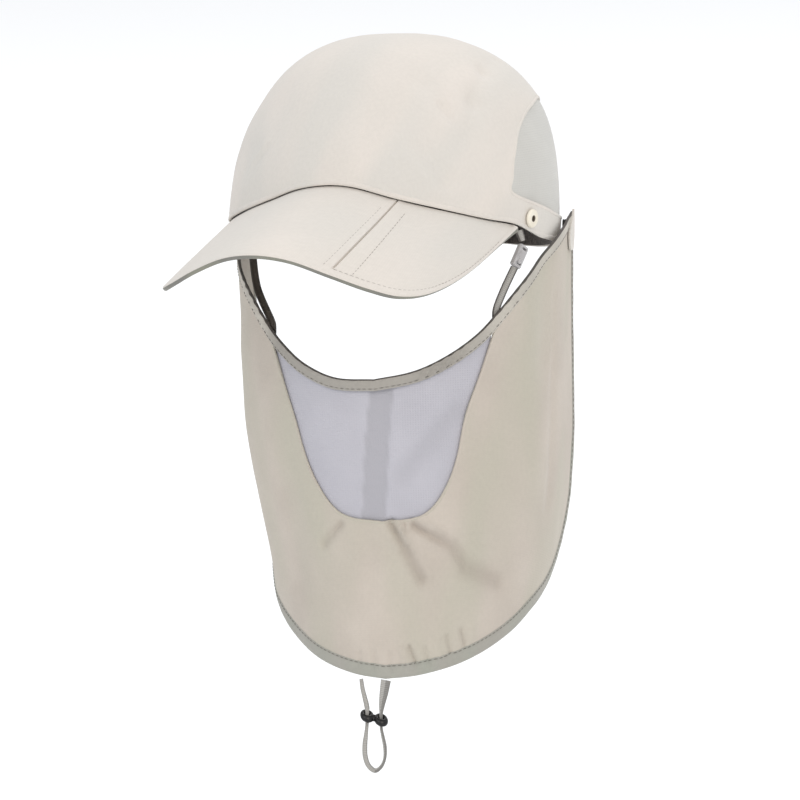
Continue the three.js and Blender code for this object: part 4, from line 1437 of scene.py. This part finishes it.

# %% [markdown]
# ## Snaps and posts
# Each side of the crown carries an open ring snap of ivory plastic, which a stud would press into,
# and each rear corner of the flap is joined to the crown by a plain post. The ring is a rounded bar
# that runs once round, with a thin floor in its hole that carries painted shade, and the post is a
# cylinder whose middle is drawn in, which leaves a wider rounded head at each end.

# %% Ring snaps
# CAD has the snaps at 84 degrees. The smaller angle undoes the lean's shift in the photo's view.
SNAP_ANGLE, SNAP_HEIGHT, SNAP_OFF = 82.2, 1.2, 0.4
SNAP_OUTER, SNAP_HOLE, SNAP_TALL = 4.8, 1.35, 2.2
SNAP_STEPS = 56
HOLE_WALL = 0.35
# The floor of the hole: how far it reaches under the ring, its thickness, height and rounding.
FLOOR_UNDER, FLOOR_WALL, FLOOR_HEIGHT, FLOOR_ROUND = 0.5, 0.5, 0.4, 0.15


def moved_to(made, place, axis, up=Vector((0, 0, 1))):
    """The piece, made round the origin, turned so that its Z lies along an axis, and put at a place."""
    z = axis.normalized()
    x = up.cross(z).normalized()
    y = z.cross(x)
    made.data.transform(Matrix.Translation(place * MM) @ Matrix((x, y, z)).transposed().to_4x4())
    return made


def round_snap(i, a, b):
    turn = 2 * math.pi * i / SNAP_STEPS
    return Vector((math.cos(turn), math.sin(turn), 0)) * (SNAP_HOLE + a) + Vector((0, 0, b + SNAP_TALL / 2))


def ring_snap(name, sign):
    bar = section(SNAP_OUTER - SNAP_HOLE, SNAP_TALL, 20, 2.8)
    ring = run_of(name, SNAP_STEPS, bar, round_snap, closed=True)
    edit(ring, face_out)
    bpy.ops.object.select_all(action="DESELECT")
    bpy.ops.mesh.primitive_cylinder_add(
        vertices=40, radius=(SNAP_HOLE + FLOOR_UNDER) * MM, depth=FLOOR_WALL * MM
    )
    hollow = bpy.context.object
    hollow.data.transform(Matrix.Translation((0, 0, FLOOR_HEIGHT * MM)))
    hollow.data.uv_layers.active.name = ring.data.uv_layers.active.name
    finish_with(hollow, "BEVEL", width=FLOOR_ROUND * MM, segments=2)
    made = joined(name, ring, hollow)
    # The hole's floor and inner wall get painted shade.
    for face in made.data.polygons:
        face.material_index = int(face.center.xy.length < (SNAP_HOLE + HOLE_WALL) * MM)
    angle = sign * SNAP_ANGLE
    lift = lift_at(angle, SNAP_HEIGHT)
    out = crown_out(angle, lift)
    moved_to(made, crown_point(angle, lift) + out * SNAP_OFF, out)
    return soften(made, 60)


snaps = {}
for side, sign in (("left", 1), ("right", -1)):
    snaps[side] = ring_snap(f"ring_snap_{side}", sign)
    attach(snaps[side], "root")
    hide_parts(f"crown_snap_{side}")
print("each snap has", len(snaps["left"].data.polygons), "faces")

# %% Corner posts
POST_SHARE, POST_DROP, POST_RADIUS, POST_CLEAR, POST_ROUND = 0.93, 5.5, 3.0, 0.35, 0.3
# Share of the radius at the post's middle, what is added to it at its heads, and where that starts.
POST_WAIST, POST_SWELL, POST_NECK = 0.78, 0.22, (0.3, 0.6)


def post(name, sign):
    share = sign * POST_SHARE
    x, z = share * HALF_SPAN, flap_top(share) - POST_DROP
    face = flap_point(x, z)
    angle = math.degrees(math.atan2(face.x / CROWN_HALF_WIDTH, -face.y / CROWN_HALF_LENGTH))
    base = on_crown(angle, z)
    axis = (face - base).normalized()
    lean = axis.angle(crown_out(angle, lift_at(angle, z)))
    start = POST_RADIUS * math.tan(lean) + POST_CLEAR / math.cos(lean)
    tilt = axis.angle(flap_out(x, z))
    end = (face - base).length - TOP_WALL / 2 - POST_RADIUS * math.tan(tilt) - POST_CLEAR / math.cos(tilt)
    tall = end - start
    bpy.ops.object.select_all(action="DESELECT")
    bpy.ops.mesh.primitive_cylinder_add(vertices=40, radius=POST_RADIUS * MM, depth=tall * MM)
    made = bpy.context.object
    made.name = made.data.name = name
    bpy.ops.object.mode_set(mode="EDIT")
    bpy.ops.mesh.subdivide(number_cuts=3)
    bpy.ops.object.mode_set(mode="OBJECT")
    for point in made.data.vertices:
        share_up = abs(point.co.z) / (tall / 2 * MM)
        waist = POST_WAIST + POST_SWELL * smooth(*POST_NECK, share_up)
        point.co.x *= waist
        point.co.y *= waist
    moved_to(made, base + axis * (start + tall / 2), axis)
    round_off(made, POST_ROUND, 2, 60)
    return soften(made, 50)


posts = {}
for side, sign in (("left", 1), ("right", -1)):
    posts[side] = post(f"post_{side}", sign)
    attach(posts[side], "root")
    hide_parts(f"corner_post_{side}")
print("each post has", len(posts["left"].data.polygons), "faces")

# %% [markdown]
# ## Side straps
# Inside each cheek a flat elastic tape is sewn to the flap's binding, and a small grey clip joins it
# to a loop that hangs from the sweatband. The tapes are flat bars that hang off their straight lines
# where the elastic is slack, and the clip is a rounded plate with a slot at each end and a raised rib.

# %% Where each strap runs
# Sign of the side, crown angle, share along the flap, and the clip's place: its share along the line,
# and how far it stands off to the side and back.
HANGERS = {
    "left": (1, 79, 0.415, 0.2, 3, 5),
    "right": (-1, 84, 0.4, 0.1, 0, 0),
}
HANGER_DROP = 1.7
TAPE_WIDTH, TAPE_WALL, TAPE_OFF = 4, 1, 0.5
# The direction across a tape at its upper end.
TAPE_TURN = Vector((math.cos(math.radians(30)), math.sin(math.radians(30)), 0))
CLIP_LENGTH, CLIP_GAP = 13, 0.3
# In CAD, the sweatband's middle lies behind the crown's face by the crown's wall, the gap and half
# of its own wall.
SWEATBAND_MIDDLE = 1.4 + 0.6 + 0.6
CAD_BINDING_WALL = 2.2
SEWN_LENGTH, SEWN_HALF_WIDTH = 6, 5


def hanger(side):
    """The places that a side strap runs through, and the direction across it."""
    sign, crown_turn, flap_share, clip_at, outward, back = HANGERS[side]
    angle = sign * crown_turn
    rim = rim_height(angle)
    lift = lift_at(angle, rim)
    top = crown_point(angle, lift) - crown_out(angle, lift) * SWEATBAND_MIDDLE
    top.z = rim - HANGER_DROP
    x = sign * flap_share * HALF_SPAN
    z = flap_top(sign * flap_share)
    inward = -flap_out(x, z)
    clear = CAD_BINDING_WALL / 2 + TAPE_OFF + TAPE_WALL / 2
    joint = flap_point(x, z) + inward * clear
    end = flap_point(x, z - SEWN_LENGTH) + inward * clear
    wide = (flap_point(x + SEWN_HALF_WIDTH, z) - flap_point(x - SEWN_HALF_WIDTH, z)).normalized()
    clip_top = top.lerp(joint, clip_at) + Vector((sign * outward, back, 0))
    along = (joint - clip_top).normalized()
    clip_end = clip_top + along * CLIP_LENGTH
    to_top = top - clip_top
    lean = math.pi - to_top.angle(along)
    reach = (CLIP_GAP + TAPE_WIDTH / 2 * math.sin(lean)) / math.cos(lean)
    loop_end = clip_top + to_top.normalized() * reach
    return top, loop_end, clip_top, clip_end, clip_end + along * CLIP_GAP, joint, end, wide


lengths = {side: round((hanger(side)[5] - hanger(side)[4]).length) for side in HANGERS}
print("side straps, mm:", lengths)

# %% Tapes
# Shares round a tape between which its two edges get painted shade.
EDGE_SHADE_SHARES = [(-1, 0.12), (0.3, 0.62), (0.8, 2)]


def in_edge_shade(across):
    """The faces at the two edges of a tape, which get painted shade."""
    return any(low < across < high for low, high in EDGE_SHADE_SHARES)


def tape(name, places, wide_to, wall, steps=10, shaded_from=1):
    """A flat tape through places. Its width turns on the way; its edges and last part get painted shade."""
    run = smooth_run(places, steps)
    last = len(run) - 1

    def put(i, a, b):
        along = (run[min(i + 1, last)] - run[max(i - 1, 0)]).normalized()
        wide = TAPE_TURN.lerp(wide_to, i / last)
        side = (wide - along * wide.dot(along)).normalized()
        face = side.cross(along)
        return run[i] + side * (a - TAPE_WIDTH / 2) + face * b

    made = run_of(name, last, section(TAPE_WIDTH, wall, 14, 4), put)
    edit(made, face_out)
    second_finish(made, lambda along, across: along > shaded_from or in_edge_shade(across))
    return soften(made, 60)


print("a tape is", TAPE_WIDTH, "mm wide")

# %% Loops, straps and clips
# Side, and how far the slack tape's middle hangs off its straight line, to the wearer's left.
TAPE_SLACK = {"left": -0.5, "right": -2.8}
# Share along a strap from which it gets painted shade.
TAPE_SHADED_FROM = 0.82
LOOP_WALL, STRAP_STEPS = 1.3, 14
CLIP_SIZE = (6.2, 13, 3.6)
CLIP_ROUND = 1.3
SLOT_SIZE = (3.2, 1.3, 10)
SLOT_IN = 2.2
# Place and half size of the rib and of the knob.
CLIP_RISES = [((0, 0.6, 1.5), (2.3, 2.9, 1)), ((0, -3.2, 1.7), (1.4, 1.4, 1.2))]


def shaped(made, size, place):
    """A new primitive, stretched by its size and moved to its place in mm."""
    stretch = Matrix.Diagonal((*size, 1))
    made.data.transform(Matrix.Translation(Vector(place) * MM) @ stretch)
    return made


def box(size, place=(0, 0, 0)):
    bpy.ops.object.select_all(action="DESELECT")
    bpy.ops.mesh.primitive_cube_add(size=1)
    return shaped(bpy.context.object, [k * MM for k in size], place)


def clip_of(name, start, end, wide):
    """A rounded plate with a slot at each end, a raised rib across it and a small knob."""
    made = box(CLIP_SIZE)
    finish_with(made, "BEVEL", width=CLIP_ROUND * MM, segments=5, limit_method="NONE")
    for way in (-1, 1):
        cut(made, box(SLOT_SIZE, (0, way * (CLIP_SIZE[1] / 2 - SLOT_IN), 0)))
    rises = []
    for place, size in CLIP_RISES:
        bpy.ops.object.select_all(action="DESELECT")
        bpy.ops.mesh.primitive_uv_sphere_add(segments=24, ring_count=14, radius=MM)
        rises.append(shaped(bpy.context.object, size, place))
    made = joined(name, made, *rises)
    up = (start - end).normalized()
    face = wide.cross(up).normalized()
    face = face if face.dot(to_camera) > 0 else -face
    moved_to(made, start.lerp(end, 0.5), face, up=up)
    return soften(made, 40)


straps = []
clips = []
for side in ("left", "right"):
    top, loop_end, clip_top, clip_end, strap_start, joint, end, wide = hanger(side)
    wide = wide if wide.dot(TAPE_TURN) > 0 else -wide
    loop_middle = top.lerp(loop_end, 0.5)
    loop = tape(f"loop_{side}", [top, loop_middle, loop_end], wide, LOOP_WALL)
    slack = Vector((TAPE_SLACK[side], 0, 0))
    strap_run = [strap_start, strap_start.lerp(joint, 0.5) + slack, joint, end]
    strap = tape(f"strap_{side}", strap_run, wide, TAPE_WALL, STRAP_STEPS, TAPE_SHADED_FROM)
    clip = clip_of(f"clip_{side}", clip_top, clip_end, wide)
    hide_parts(f"strap_loop_{side}")
    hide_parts(f"side_strap_{side}")
    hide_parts(f"strap_clip_{side}")
    for made, finish_slot in ((loop, "elastic"), (strap, "elastic"), (clip, "clear_grey_plastic")):
        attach(made, "root")
    straps += [loop, strap]
    clips.append(clip)
print("straps:", [piece.name for piece in straps + clips])

# %% [markdown]
# ## Flat outlines of the sheets
# The flap and its net are sheets that hang or are stretched, and the side panels are stretched in
# the crown. The outlines of the flap's sheet, its opening and its net in the flat cloth are traced
# from the same rules that these pieces were made from.

# %% Outlines of the flap, its opening and its net
OUTLINE_STEPS, VENT_TOP_STEPS = 100, 40


def outline_of(at):
    """The outline of a sheet in the flat cloth: along its top, and back along its bottom."""
    shares = [k / OUTLINE_STEPS for k in range(OUTLINE_STEPS + 1)]
    return [Vector(at(share, 1)) for share in shares] + [Vector(at(1 - share, 0)) for share in shares]


flap_outline = outline_of(sheet_at)
vent_outline = vent_run(VENT_MARGIN)
vent_left, vent_right = vent_outline[-1].x, vent_outline[0].x
for k in range(1, VENT_TOP_STEPS):
    x = mix(vent_left, vent_right, k / VENT_TOP_STEPS)
    vent_outline.append(Vector((x, flap_top(x / HALF_SPAN) - IN_BANDS)))
net_outline = outline_of(net_at)


# %% [markdown]
# ## Finishes
# Each finish starts from the real material. Colours are the ones it shows, as sRGB hex values, and
# several carry painted shade. Each pattern's size is a real one in millimetres. One function adds a
# node. Three more build what the finishes share: crossed bands, soft patches of two tones, and the
# relief at the end.

# %% Colours and nodes
def linear(hex_colour):
    """An sRGB hex colour as the linear values that shaders use."""
    values = []
    for k in (1, 3, 5):
        c = int(hex_colour[k: k + 2], 16) / 255
        values.append(c / 12.92 if c <= 0.04045 else ((c + 0.055) / 1.055) ** 2.4)
    return (*values, 1)


def add_node(tree, kind, settings=(), links=()):
    """One node, with its settings and what feeds its sockets."""
    made = tree.nodes.new("ShaderNode" + kind)
    for name, value in dict(settings).items():
        if isinstance(name, str) and hasattr(made, name):
            setattr(made, name, value)
        else:
            made.inputs[name].default_value = value
    for name, source in dict(links).items():
        tree.links.new(source, made.inputs[name])
    return made


def new_finish(name, settings):
    """A material with an empty tree, and its main shader set."""
    finish = bpy.data.materials.new(name)
    finish.use_nodes = True
    tree = finish.node_tree
    tree.nodes.clear()
    shader = add_node(tree, "BsdfPrincipled", settings)
    add_node(tree, "OutputMaterial", links={"Surface": shader.outputs[0]})
    return finish, tree, shader


def wave_scale(spacing):
    """The Scale of a wave pattern whose bands are a real spacing in mm apart."""
    return 2 * math.pi / (20 * spacing * MM)


def noise_scale(size):
    """The Scale of a noise whose soft spots are about some mm wide."""
    return 1 / (size * MM)


def crossed(tree, where, across, along):
    """Bands one way times bands the other way, each a real spacing in mm apart."""
    bands = []
    for way, spacing in (("X", across), ("Y", along)):
        settings = {"bands_direction": way, "Scale": wave_scale(spacing)}
        bands.append(add_node(tree, "TexWave", settings, {"Vector": where}).outputs["Fac"])
    return add_node(tree, "Math", {"operation": "MULTIPLY"}, {0: bands[0], 1: bands[1]}).outputs[0]


def patched(tree, where, size, detail, dark, light, low=0.3, high=0.7):
    """A colour in soft patches from dark to light, some mm wide, and the noise that it follows."""
    settings = {"Scale": noise_scale(size), "Detail": detail}
    patches = add_node(tree, "TexNoise", settings, {"Vector": where}).outputs["Fac"]
    tone = add_node(tree, "MapRange", {"From Min": low, "From Max": high}, {"Value": patches}).outputs[0]
    colours = {"Color1": linear(dark), "Color2": linear(light)}
    return add_node(tree, "MixRGB", colours, {"Fac": tone}).outputs[0], patches


def finish_off(tree, shader, colour, height, strength, depth, invert=False):
    """Gives the shader its colour, and a relief of some mm that follows a pattern."""
    tree.links.new(colour, shader.inputs["Base Color"])
    settings = {"Strength": strength, "Distance": depth * MM, "invert": invert}
    raised = add_node(tree, "Bump", settings, {"Height": height})
    tree.links.new(raised.outputs[0], shader.inputs["Normal"])


print("white is", linear("#ffffff")[0])

# %% [markdown]
# ## Cloths
# The crown and peak are matt nylon with a fine plain weave, near 0.3 mm between threads, which is
# drawn three times as coarse so that it just shows. The flap is the same cloth, darker by painted shade.

# %% Woven nylon
# Width of a thick place in the thread, in mm, and how far the light and dark of thread and slub go.
SLUB = 2.2
THREAD_TONE = {"To Min": 0.975, "To Max": 1.01}
SLUB_TONE = {"From Min": 0.3, "From Max": 0.7, "To Min": 0.975, "To Max": 1.015}
# The tint lies in patches that are drawn out upwards.
TINT_PLACE = {"Scale": (1, 0.35, 1), "Location": (0.07, 0.02, 0)}
TINT_TONE = {"From Min": 0.42, "From Max": 0.66}


def woven(name, light, dark, thread, patch, tint, seed=(0, 0, 0), painted_shade=None):
    """Plain woven cloth: crossed threads, soft patches of tone and tint, and a slightly uneven face."""
    look = {"Roughness": 0.85, "Specular IOR Level": 0.25, "Sheen Weight": 0.12, "Sheen Roughness": 0.45}
    finish, tree, shader = new_finish(name, look)
    where = add_node(tree, "UVMap").outputs["UV"]
    place = add_node(tree, "Mapping", {"Location": seed}, {"Vector": where}).outputs[0]
    threads = crossed(tree, where, thread, thread)
    colour, _ = patched(tree, place, patch, 3, dark, light)
    settings = {"Scale": noise_scale(SLUB), "Detail": 2}
    slubs = add_node(tree, "TexNoise", settings, {"Vector": place}).outputs["Fac"]
    tall = add_node(tree, "Mapping", TINT_PLACE, {"Vector": place}).outputs[0]
    settings = {"Scale": noise_scale(patch), "Detail": 1}
    bands = add_node(tree, "TexNoise", settings, {"Vector": tall}).outputs["Fac"]
    tinted = add_node(tree, "MapRange", TINT_TONE, {"Value": bands}).outputs[0]
    colour = add_node(tree, "MixRGB", {"Color2": linear(tint)}, {"Fac": tinted, "Color1": colour}).outputs[0]
    # Painted shade, where the piece carries a tone for it.
    if painted_shade:
        painted_shade_fac = add_node(tree, "Attribute", {"attribute_name": "painted_shade"}).outputs["Fac"]
        links = {"Fac": painted_shade_fac, "Color1": colour}
        colour = add_node(tree, "MixRGB", {"Color2": linear(painted_shade)}, links).outputs[0]
    thread_tone = add_node(tree, "MapRange", THREAD_TONE, {"Value": threads}).outputs[0]
    slub_tone = add_node(tree, "MapRange", SLUB_TONE, {"Value": slubs}).outputs[0]
    tones = add_node(tree, "Math", {"operation": "MULTIPLY"}, {0: thread_tone, 1: slub_tone}).outputs[0]
    grey = add_node(tree, "CombineColor", links={0: tones, 1: tones, 2: tones}).outputs[0]
    links = {"Color1": colour, "Color2": grey}
    colour = add_node(tree, "MixRGB", {"blend_type": "MULTIPLY", "Fac": 1.0}, links).outputs[0]
    height = add_node(tree, "Math", {"operation": "ADD"}, {0: threads, 1: slubs}).outputs[0]
    finish_off(tree, shader, colour, height, strength=0.3, depth=0.12)
    return finish


nylon_light = woven("woven_nylon_light", "#dfd8d0", "#d9d3cb", thread=0.9, patch=42, tint="#d6d2cb")
# Painted shade: the flap's cloth is the crown's nylon drawn darker, and darker still in its narrow grooves.
nylon_flap = woven(
    "woven_nylon_flap", "#c8bfb4", "#beb5aa", thread=0.9, patch=38, tint="#bdb8aa",
    seed=(0.3, 0.1, 0), painted_shade="#988d83"
)
# Painted shade: the hem is drawn darker still.
nylon_hem = woven("woven_nylon_hem", "#aaa8a0", "#a29f97", thread=0.9, patch=24, tint="#a2a399")
# Painted shade: the binding is drawn darker than the crown's cloth, and greyer along its middle.
nylon_band = woven(
    "woven_nylon_binding", "#cbc6bc", "#c0bbb1", thread=0.9, patch=24, tint="#b6b2a9", painted_shade="#a5a19a"
)
# Painted shade: the peak's round edge, where it faces down, drawn dark grey.
nylon_peak_shade = woven("woven_nylon_peak_painted_shade", "#84837d", "#7b7a75", thread=0.9, patch=16, tint="#8c8c80")
# Painted shade: the binding's top edge and inner face drawn near black.
nylon_binding_shade = woven("woven_nylon_binding_painted_shade", "#5e5955", "#4d4845", thread=0.9, patch=16, tint="#57544f")
thread_light = woven("sewing_thread_light", "#b3aea6", "#a9a49d", thread=0.4, patch=10, tint="#aba69f")
thread_flap = woven("sewing_thread_flap", "#7f7b74", "#75716b", thread=0.4, patch=10, tint="#797670")
print("woven:", nylon_light.name, nylon_flap.name, nylon_band.name, nylon_hem.name)

# %% Knitted net, towelling and elastic
# A loop of the knit is wider than it is tall, and a rib of the elastic is longer than it is wide.
LOOP_TALL, RIB_LONG = 0.8, 1.3
KNIT_PATCH = 30
LOOP_LENGTH = 1.1


def knitted(name, light, dark, hole, spacing, pleat_and_shade_colour=None):
    """Knitted net: rows of small soft holes, one for each loop of the knit."""
    look = {"Roughness": 0.9, "Specular IOR Level": 0.2, "Sheen Weight": 0.2, "Sheen Roughness": 0.4}
    finish, tree, shader = new_finish(name, look)
    where = add_node(tree, "UVMap").outputs["UV"]
    loops = crossed(tree, where, spacing, spacing * LOOP_TALL)
    holes = add_node(tree, "MapRange", {"From Min": 0.45, "From Max": 0.85}, {"Value": loops}).outputs[0]
    colour, _ = patched(tree, where, KNIT_PATCH, 2, dark, light)
    colour = add_node(tree, "MixRGB", {"Color2": linear(hole)}, {"Fac": holes, "Color1": colour}).outputs[0]
    # Darker on the pleat, and painted shade along the slack fold, where the piece carries a tone for them.
    if pleat_and_shade_colour:
        pleat_and_shade_fac = add_node(tree, "Attribute", {"attribute_name": "pleat_and_painted_shade"}).outputs["Fac"]
        links = {"Fac": pleat_and_shade_fac, "Color1": colour}
        colour = add_node(tree, "MixRGB", {"Color2": linear(pleat_and_shade_colour)}, links).outputs[0]
    finish_off(tree, shader, colour, loops, strength=0.35, depth=0.2, invert=True)
    return finish


def towelling(name, light, dark):
    """Cotton towelling: short loops of two close tones, rough all over."""
    look = {"Roughness": 1.0, "Specular IOR Level": 0.1, "Sheen Weight": 0.3, "Sheen Roughness": 0.6}
    finish, tree, shader = new_finish(name, look)
    where = add_node(tree, "TexCoord").outputs["Object"]
    colour, loops = patched(tree, where, LOOP_LENGTH, 3, dark, light, low=0.35, high=0.65)
    finish_off(tree, shader, colour, loops, strength=0.8, depth=0.5)
    return finish


def ribbed(name, light, dark, rib):
    """Woven elastic: fine ribs across the tape, with a soft sheen."""
    look = {"Roughness": 0.7, "Specular IOR Level": 0.3, "Sheen Weight": 0.15, "Sheen Roughness": 0.4}
    finish, tree, shader = new_finish(name, look)
    where = add_node(tree, "UVMap").outputs["UV"]
    ribs = crossed(tree, where, rib, rib * RIB_LONG)
    colours = {"Color1": linear(dark), "Color2": linear(light)}
    colour = add_node(tree, "MixRGB", colours, {"Fac": ribs}).outputs[0]
    finish_off(tree, shader, colour, ribs, strength=0.5, depth=0.15)
    return finish


knit_side = knitted("knitted_net_light_grey", "#cccbc6", "#c6c5c0", "#bfbeba", 1.5)
knit_vent = knitted("knitted_net_lavender_white", "#bcbbc2", "#b6b5bc", "#b1b0b8", 1.5, pleat_and_shade_colour="#abaab0")
towel = towelling("dark_cotton_towelling", "#4a413c", "#1f1a18")
elastic = ribbed("woven_elastic_grey", "#b7b5b0", "#9b9994", 0.8)
# Painted shade: one half of the drawcord's tape.
elastic_cord_shade = ribbed("woven_elastic_cord_painted_shade", "#93918d", "#7e7c78", 0.8)
# Painted shade: the tapes' edges and the straps' lower ends.
elastic_shade = ribbed("woven_elastic_painted_shade", "#66625e", "#55514e", 0.8)
# Painted shade: the loop and strap on the wearer's right are drawn dark.
elastic_right_shade = ribbed("woven_elastic_right_painted_shade", "#59534c", "#403a34", 0.8)
print("knitted and ribbed:", knit_side.name, knit_vent.name, towel.name, elastic.name)

# %% [markdown]
# ## Plastics
# The snaps are moulded ivory acetal, smooth with faint flow marks, and the floor of their hole gets
# painted shade. The clips are a clear grey plastic that lets some light through. The lock is black and
# glossy, and the posts get the same black as painted shade, because all that shows of a post is a dark end.

# %% Moulded plastics
FLOW, SCUFF = 6, 0.8


def moulded(name, light, dark, look):
    """Moulded plastic: a smooth face with faint flow marks and finer scuffs."""
    finish, tree, shader = new_finish(name, look)
    where = add_node(tree, "TexCoord").outputs["Object"]
    colour, _ = patched(tree, where, FLOW, 3, dark, light)
    settings = {"Scale": noise_scale(SCUFF), "Detail": 2}
    scuffs = add_node(tree, "TexNoise", settings, {"Vector": where}).outputs["Fac"]
    finish_off(tree, shader, colour, scuffs, strength=0.15, depth=0.05)
    return finish


ivory = moulded("moulded_acetal_ivory", "#efe9da", "#e4dccb", {"Roughness": 0.35, "IOR": 1.48})
clear_grey = moulded(
    "moulded_clear_grey", "#cbc9c9", "#b7b5b6", {"Roughness": 0.2, "IOR": 1.53, "Transmission Weight": 0.2}
)
black = moulded("moulded_acetal_black", "#0d0d0e", "#070708", {"Roughness": 0.34, "IOR": 1.48})
# Painted shade for the floor and inner wall of the snaps' holes.
shade = moulded("moulded_acetal_in_shade", "#6a6053", "#5c5348", {"Roughness": 0.6, "IOR": 1.48})
print("moulded:", ivory.name, clear_grey.name, black.name, shade.name)

# %% Each piece gets its finish
# Each finish, the second finish of the faces that were marked for one, and the pieces.
WORN = [
    (nylon_light, None, [shell]),
    (nylon_light, nylon_peak_shade, [peak]),
    (thread_light, None, [peak_stitches]),
    (nylon_flap, None, [flap]),
    (nylon_light, None, [tabs["left"], tabs["right"]]),
    (nylon_hem, None, [hem]),
    (nylon_band, nylon_binding_shade, [top_band]),
    (thread_flap, None, [flap_stitches]),
    (knit_side, None, [panels["left"], panels["right"]]),
    (knit_vent, None, [net]),
    (towel, None, [band]),
    (elastic, elastic_shade, straps[:2]),
    # The tapes on the wearer's right get the dark painted shade.
    (elastic_right_shade, elastic_shade, straps[2:]),
    (elastic, elastic_cord_shade, [drawcord]),
    (ivory, shade, list(snaps.values())),
    (clear_grey, None, clips),
    # The lock is black; the posts get the black as painted shade.
    (black, None, [lock] + list(posts.values())),
]
for finish, second, pieces in WORN:
    for piece in pieces:
        marks = [face.material_index if second else 0 for face in piece.data.polygons]
        piece.data.materials.clear()
        piece.data.materials.append(finish)
        if second:
            piece.data.materials.append(second)
        piece.data.polygons.foreach_set("material_index", marks)
print("finishes:", sorted({finish.name for finish, _, _ in WORN}))

# %% [markdown]
# ## Studio
# The cap is held up, as it was for its photograph, over a plain white floor that runs out of the
# picture on every side. A pale sky gives soft light from all round. One lamp to the right of the
# camera shapes the cloth, a weaker one lights it from the left, and a wide one far behind the cap keeps
# the floor white.

# %% Floor, lamps and sky
FLOOR_BELOW = 0.16
FLOOR_SIZE = 120
# Name, place, what it points at, size in metres, power in watts and colour.
LAMPS = [
    ("key_lamp", (1.7, -1.7, 1.3), (0, 0, -0.08), 1.2, 15, "#fff3e6"),
    ("front_lamp", (-0.4, -2.4, 1.5), (0, 0, -0.02), 1.4, 12, "#fbfcff"),
    ("floor_lamp", (0, 4, 3.6), (0, 4, -0.4), 8, 150, "#ffffff"),
]
SKY_COLOUR, SKY_STRENGTH = "#f6f8fb", 0.78
bpy.ops.object.select_all(action="DESELECT")
bpy.ops.mesh.primitive_plane_add(size=FLOOR_SIZE, location=(0, 0, 0))
floor = bpy.context.object
floor.name = "studio_floor"
for point in floor.data.vertices:
    point.co.z = cad_box[0].z - FLOOR_BELOW
floor_look = {"Base Color": linear("#ffffff"), "Roughness": 0.95, "Specular IOR Level": 0.0}
floor_paint, _, _ = new_finish("white_floor", floor_look)
floor.data.materials.append(floor_paint)
for name, place, aim, size, power, tint in LAMPS:
    lamp = bpy.data.objects.new(name, bpy.data.lights.new(name, "AREA"))
    bpy.context.collection.objects.link(lamp)
    lamp.data.shape = "DISK"
    lamp.data.size = size
    lamp.data.energy = power
    lamp.data.color = linear(tint)[:3]
    lamp.location = place
    lamp.rotation_euler = (Vector(aim) - Vector(place)).to_track_quat("-Z", "Y").to_euler()
sky = bpy.data.worlds.new("studio_sky")
bpy.context.scene.world = sky
sky.use_nodes = True
sky.node_tree.nodes["Background"].inputs[0].default_value = linear(SKY_COLOUR)
sky.node_tree.nodes["Background"].inputs[1].default_value = SKY_STRENGTH
bpy.context.scene.view_settings.view_transform = "Standard"
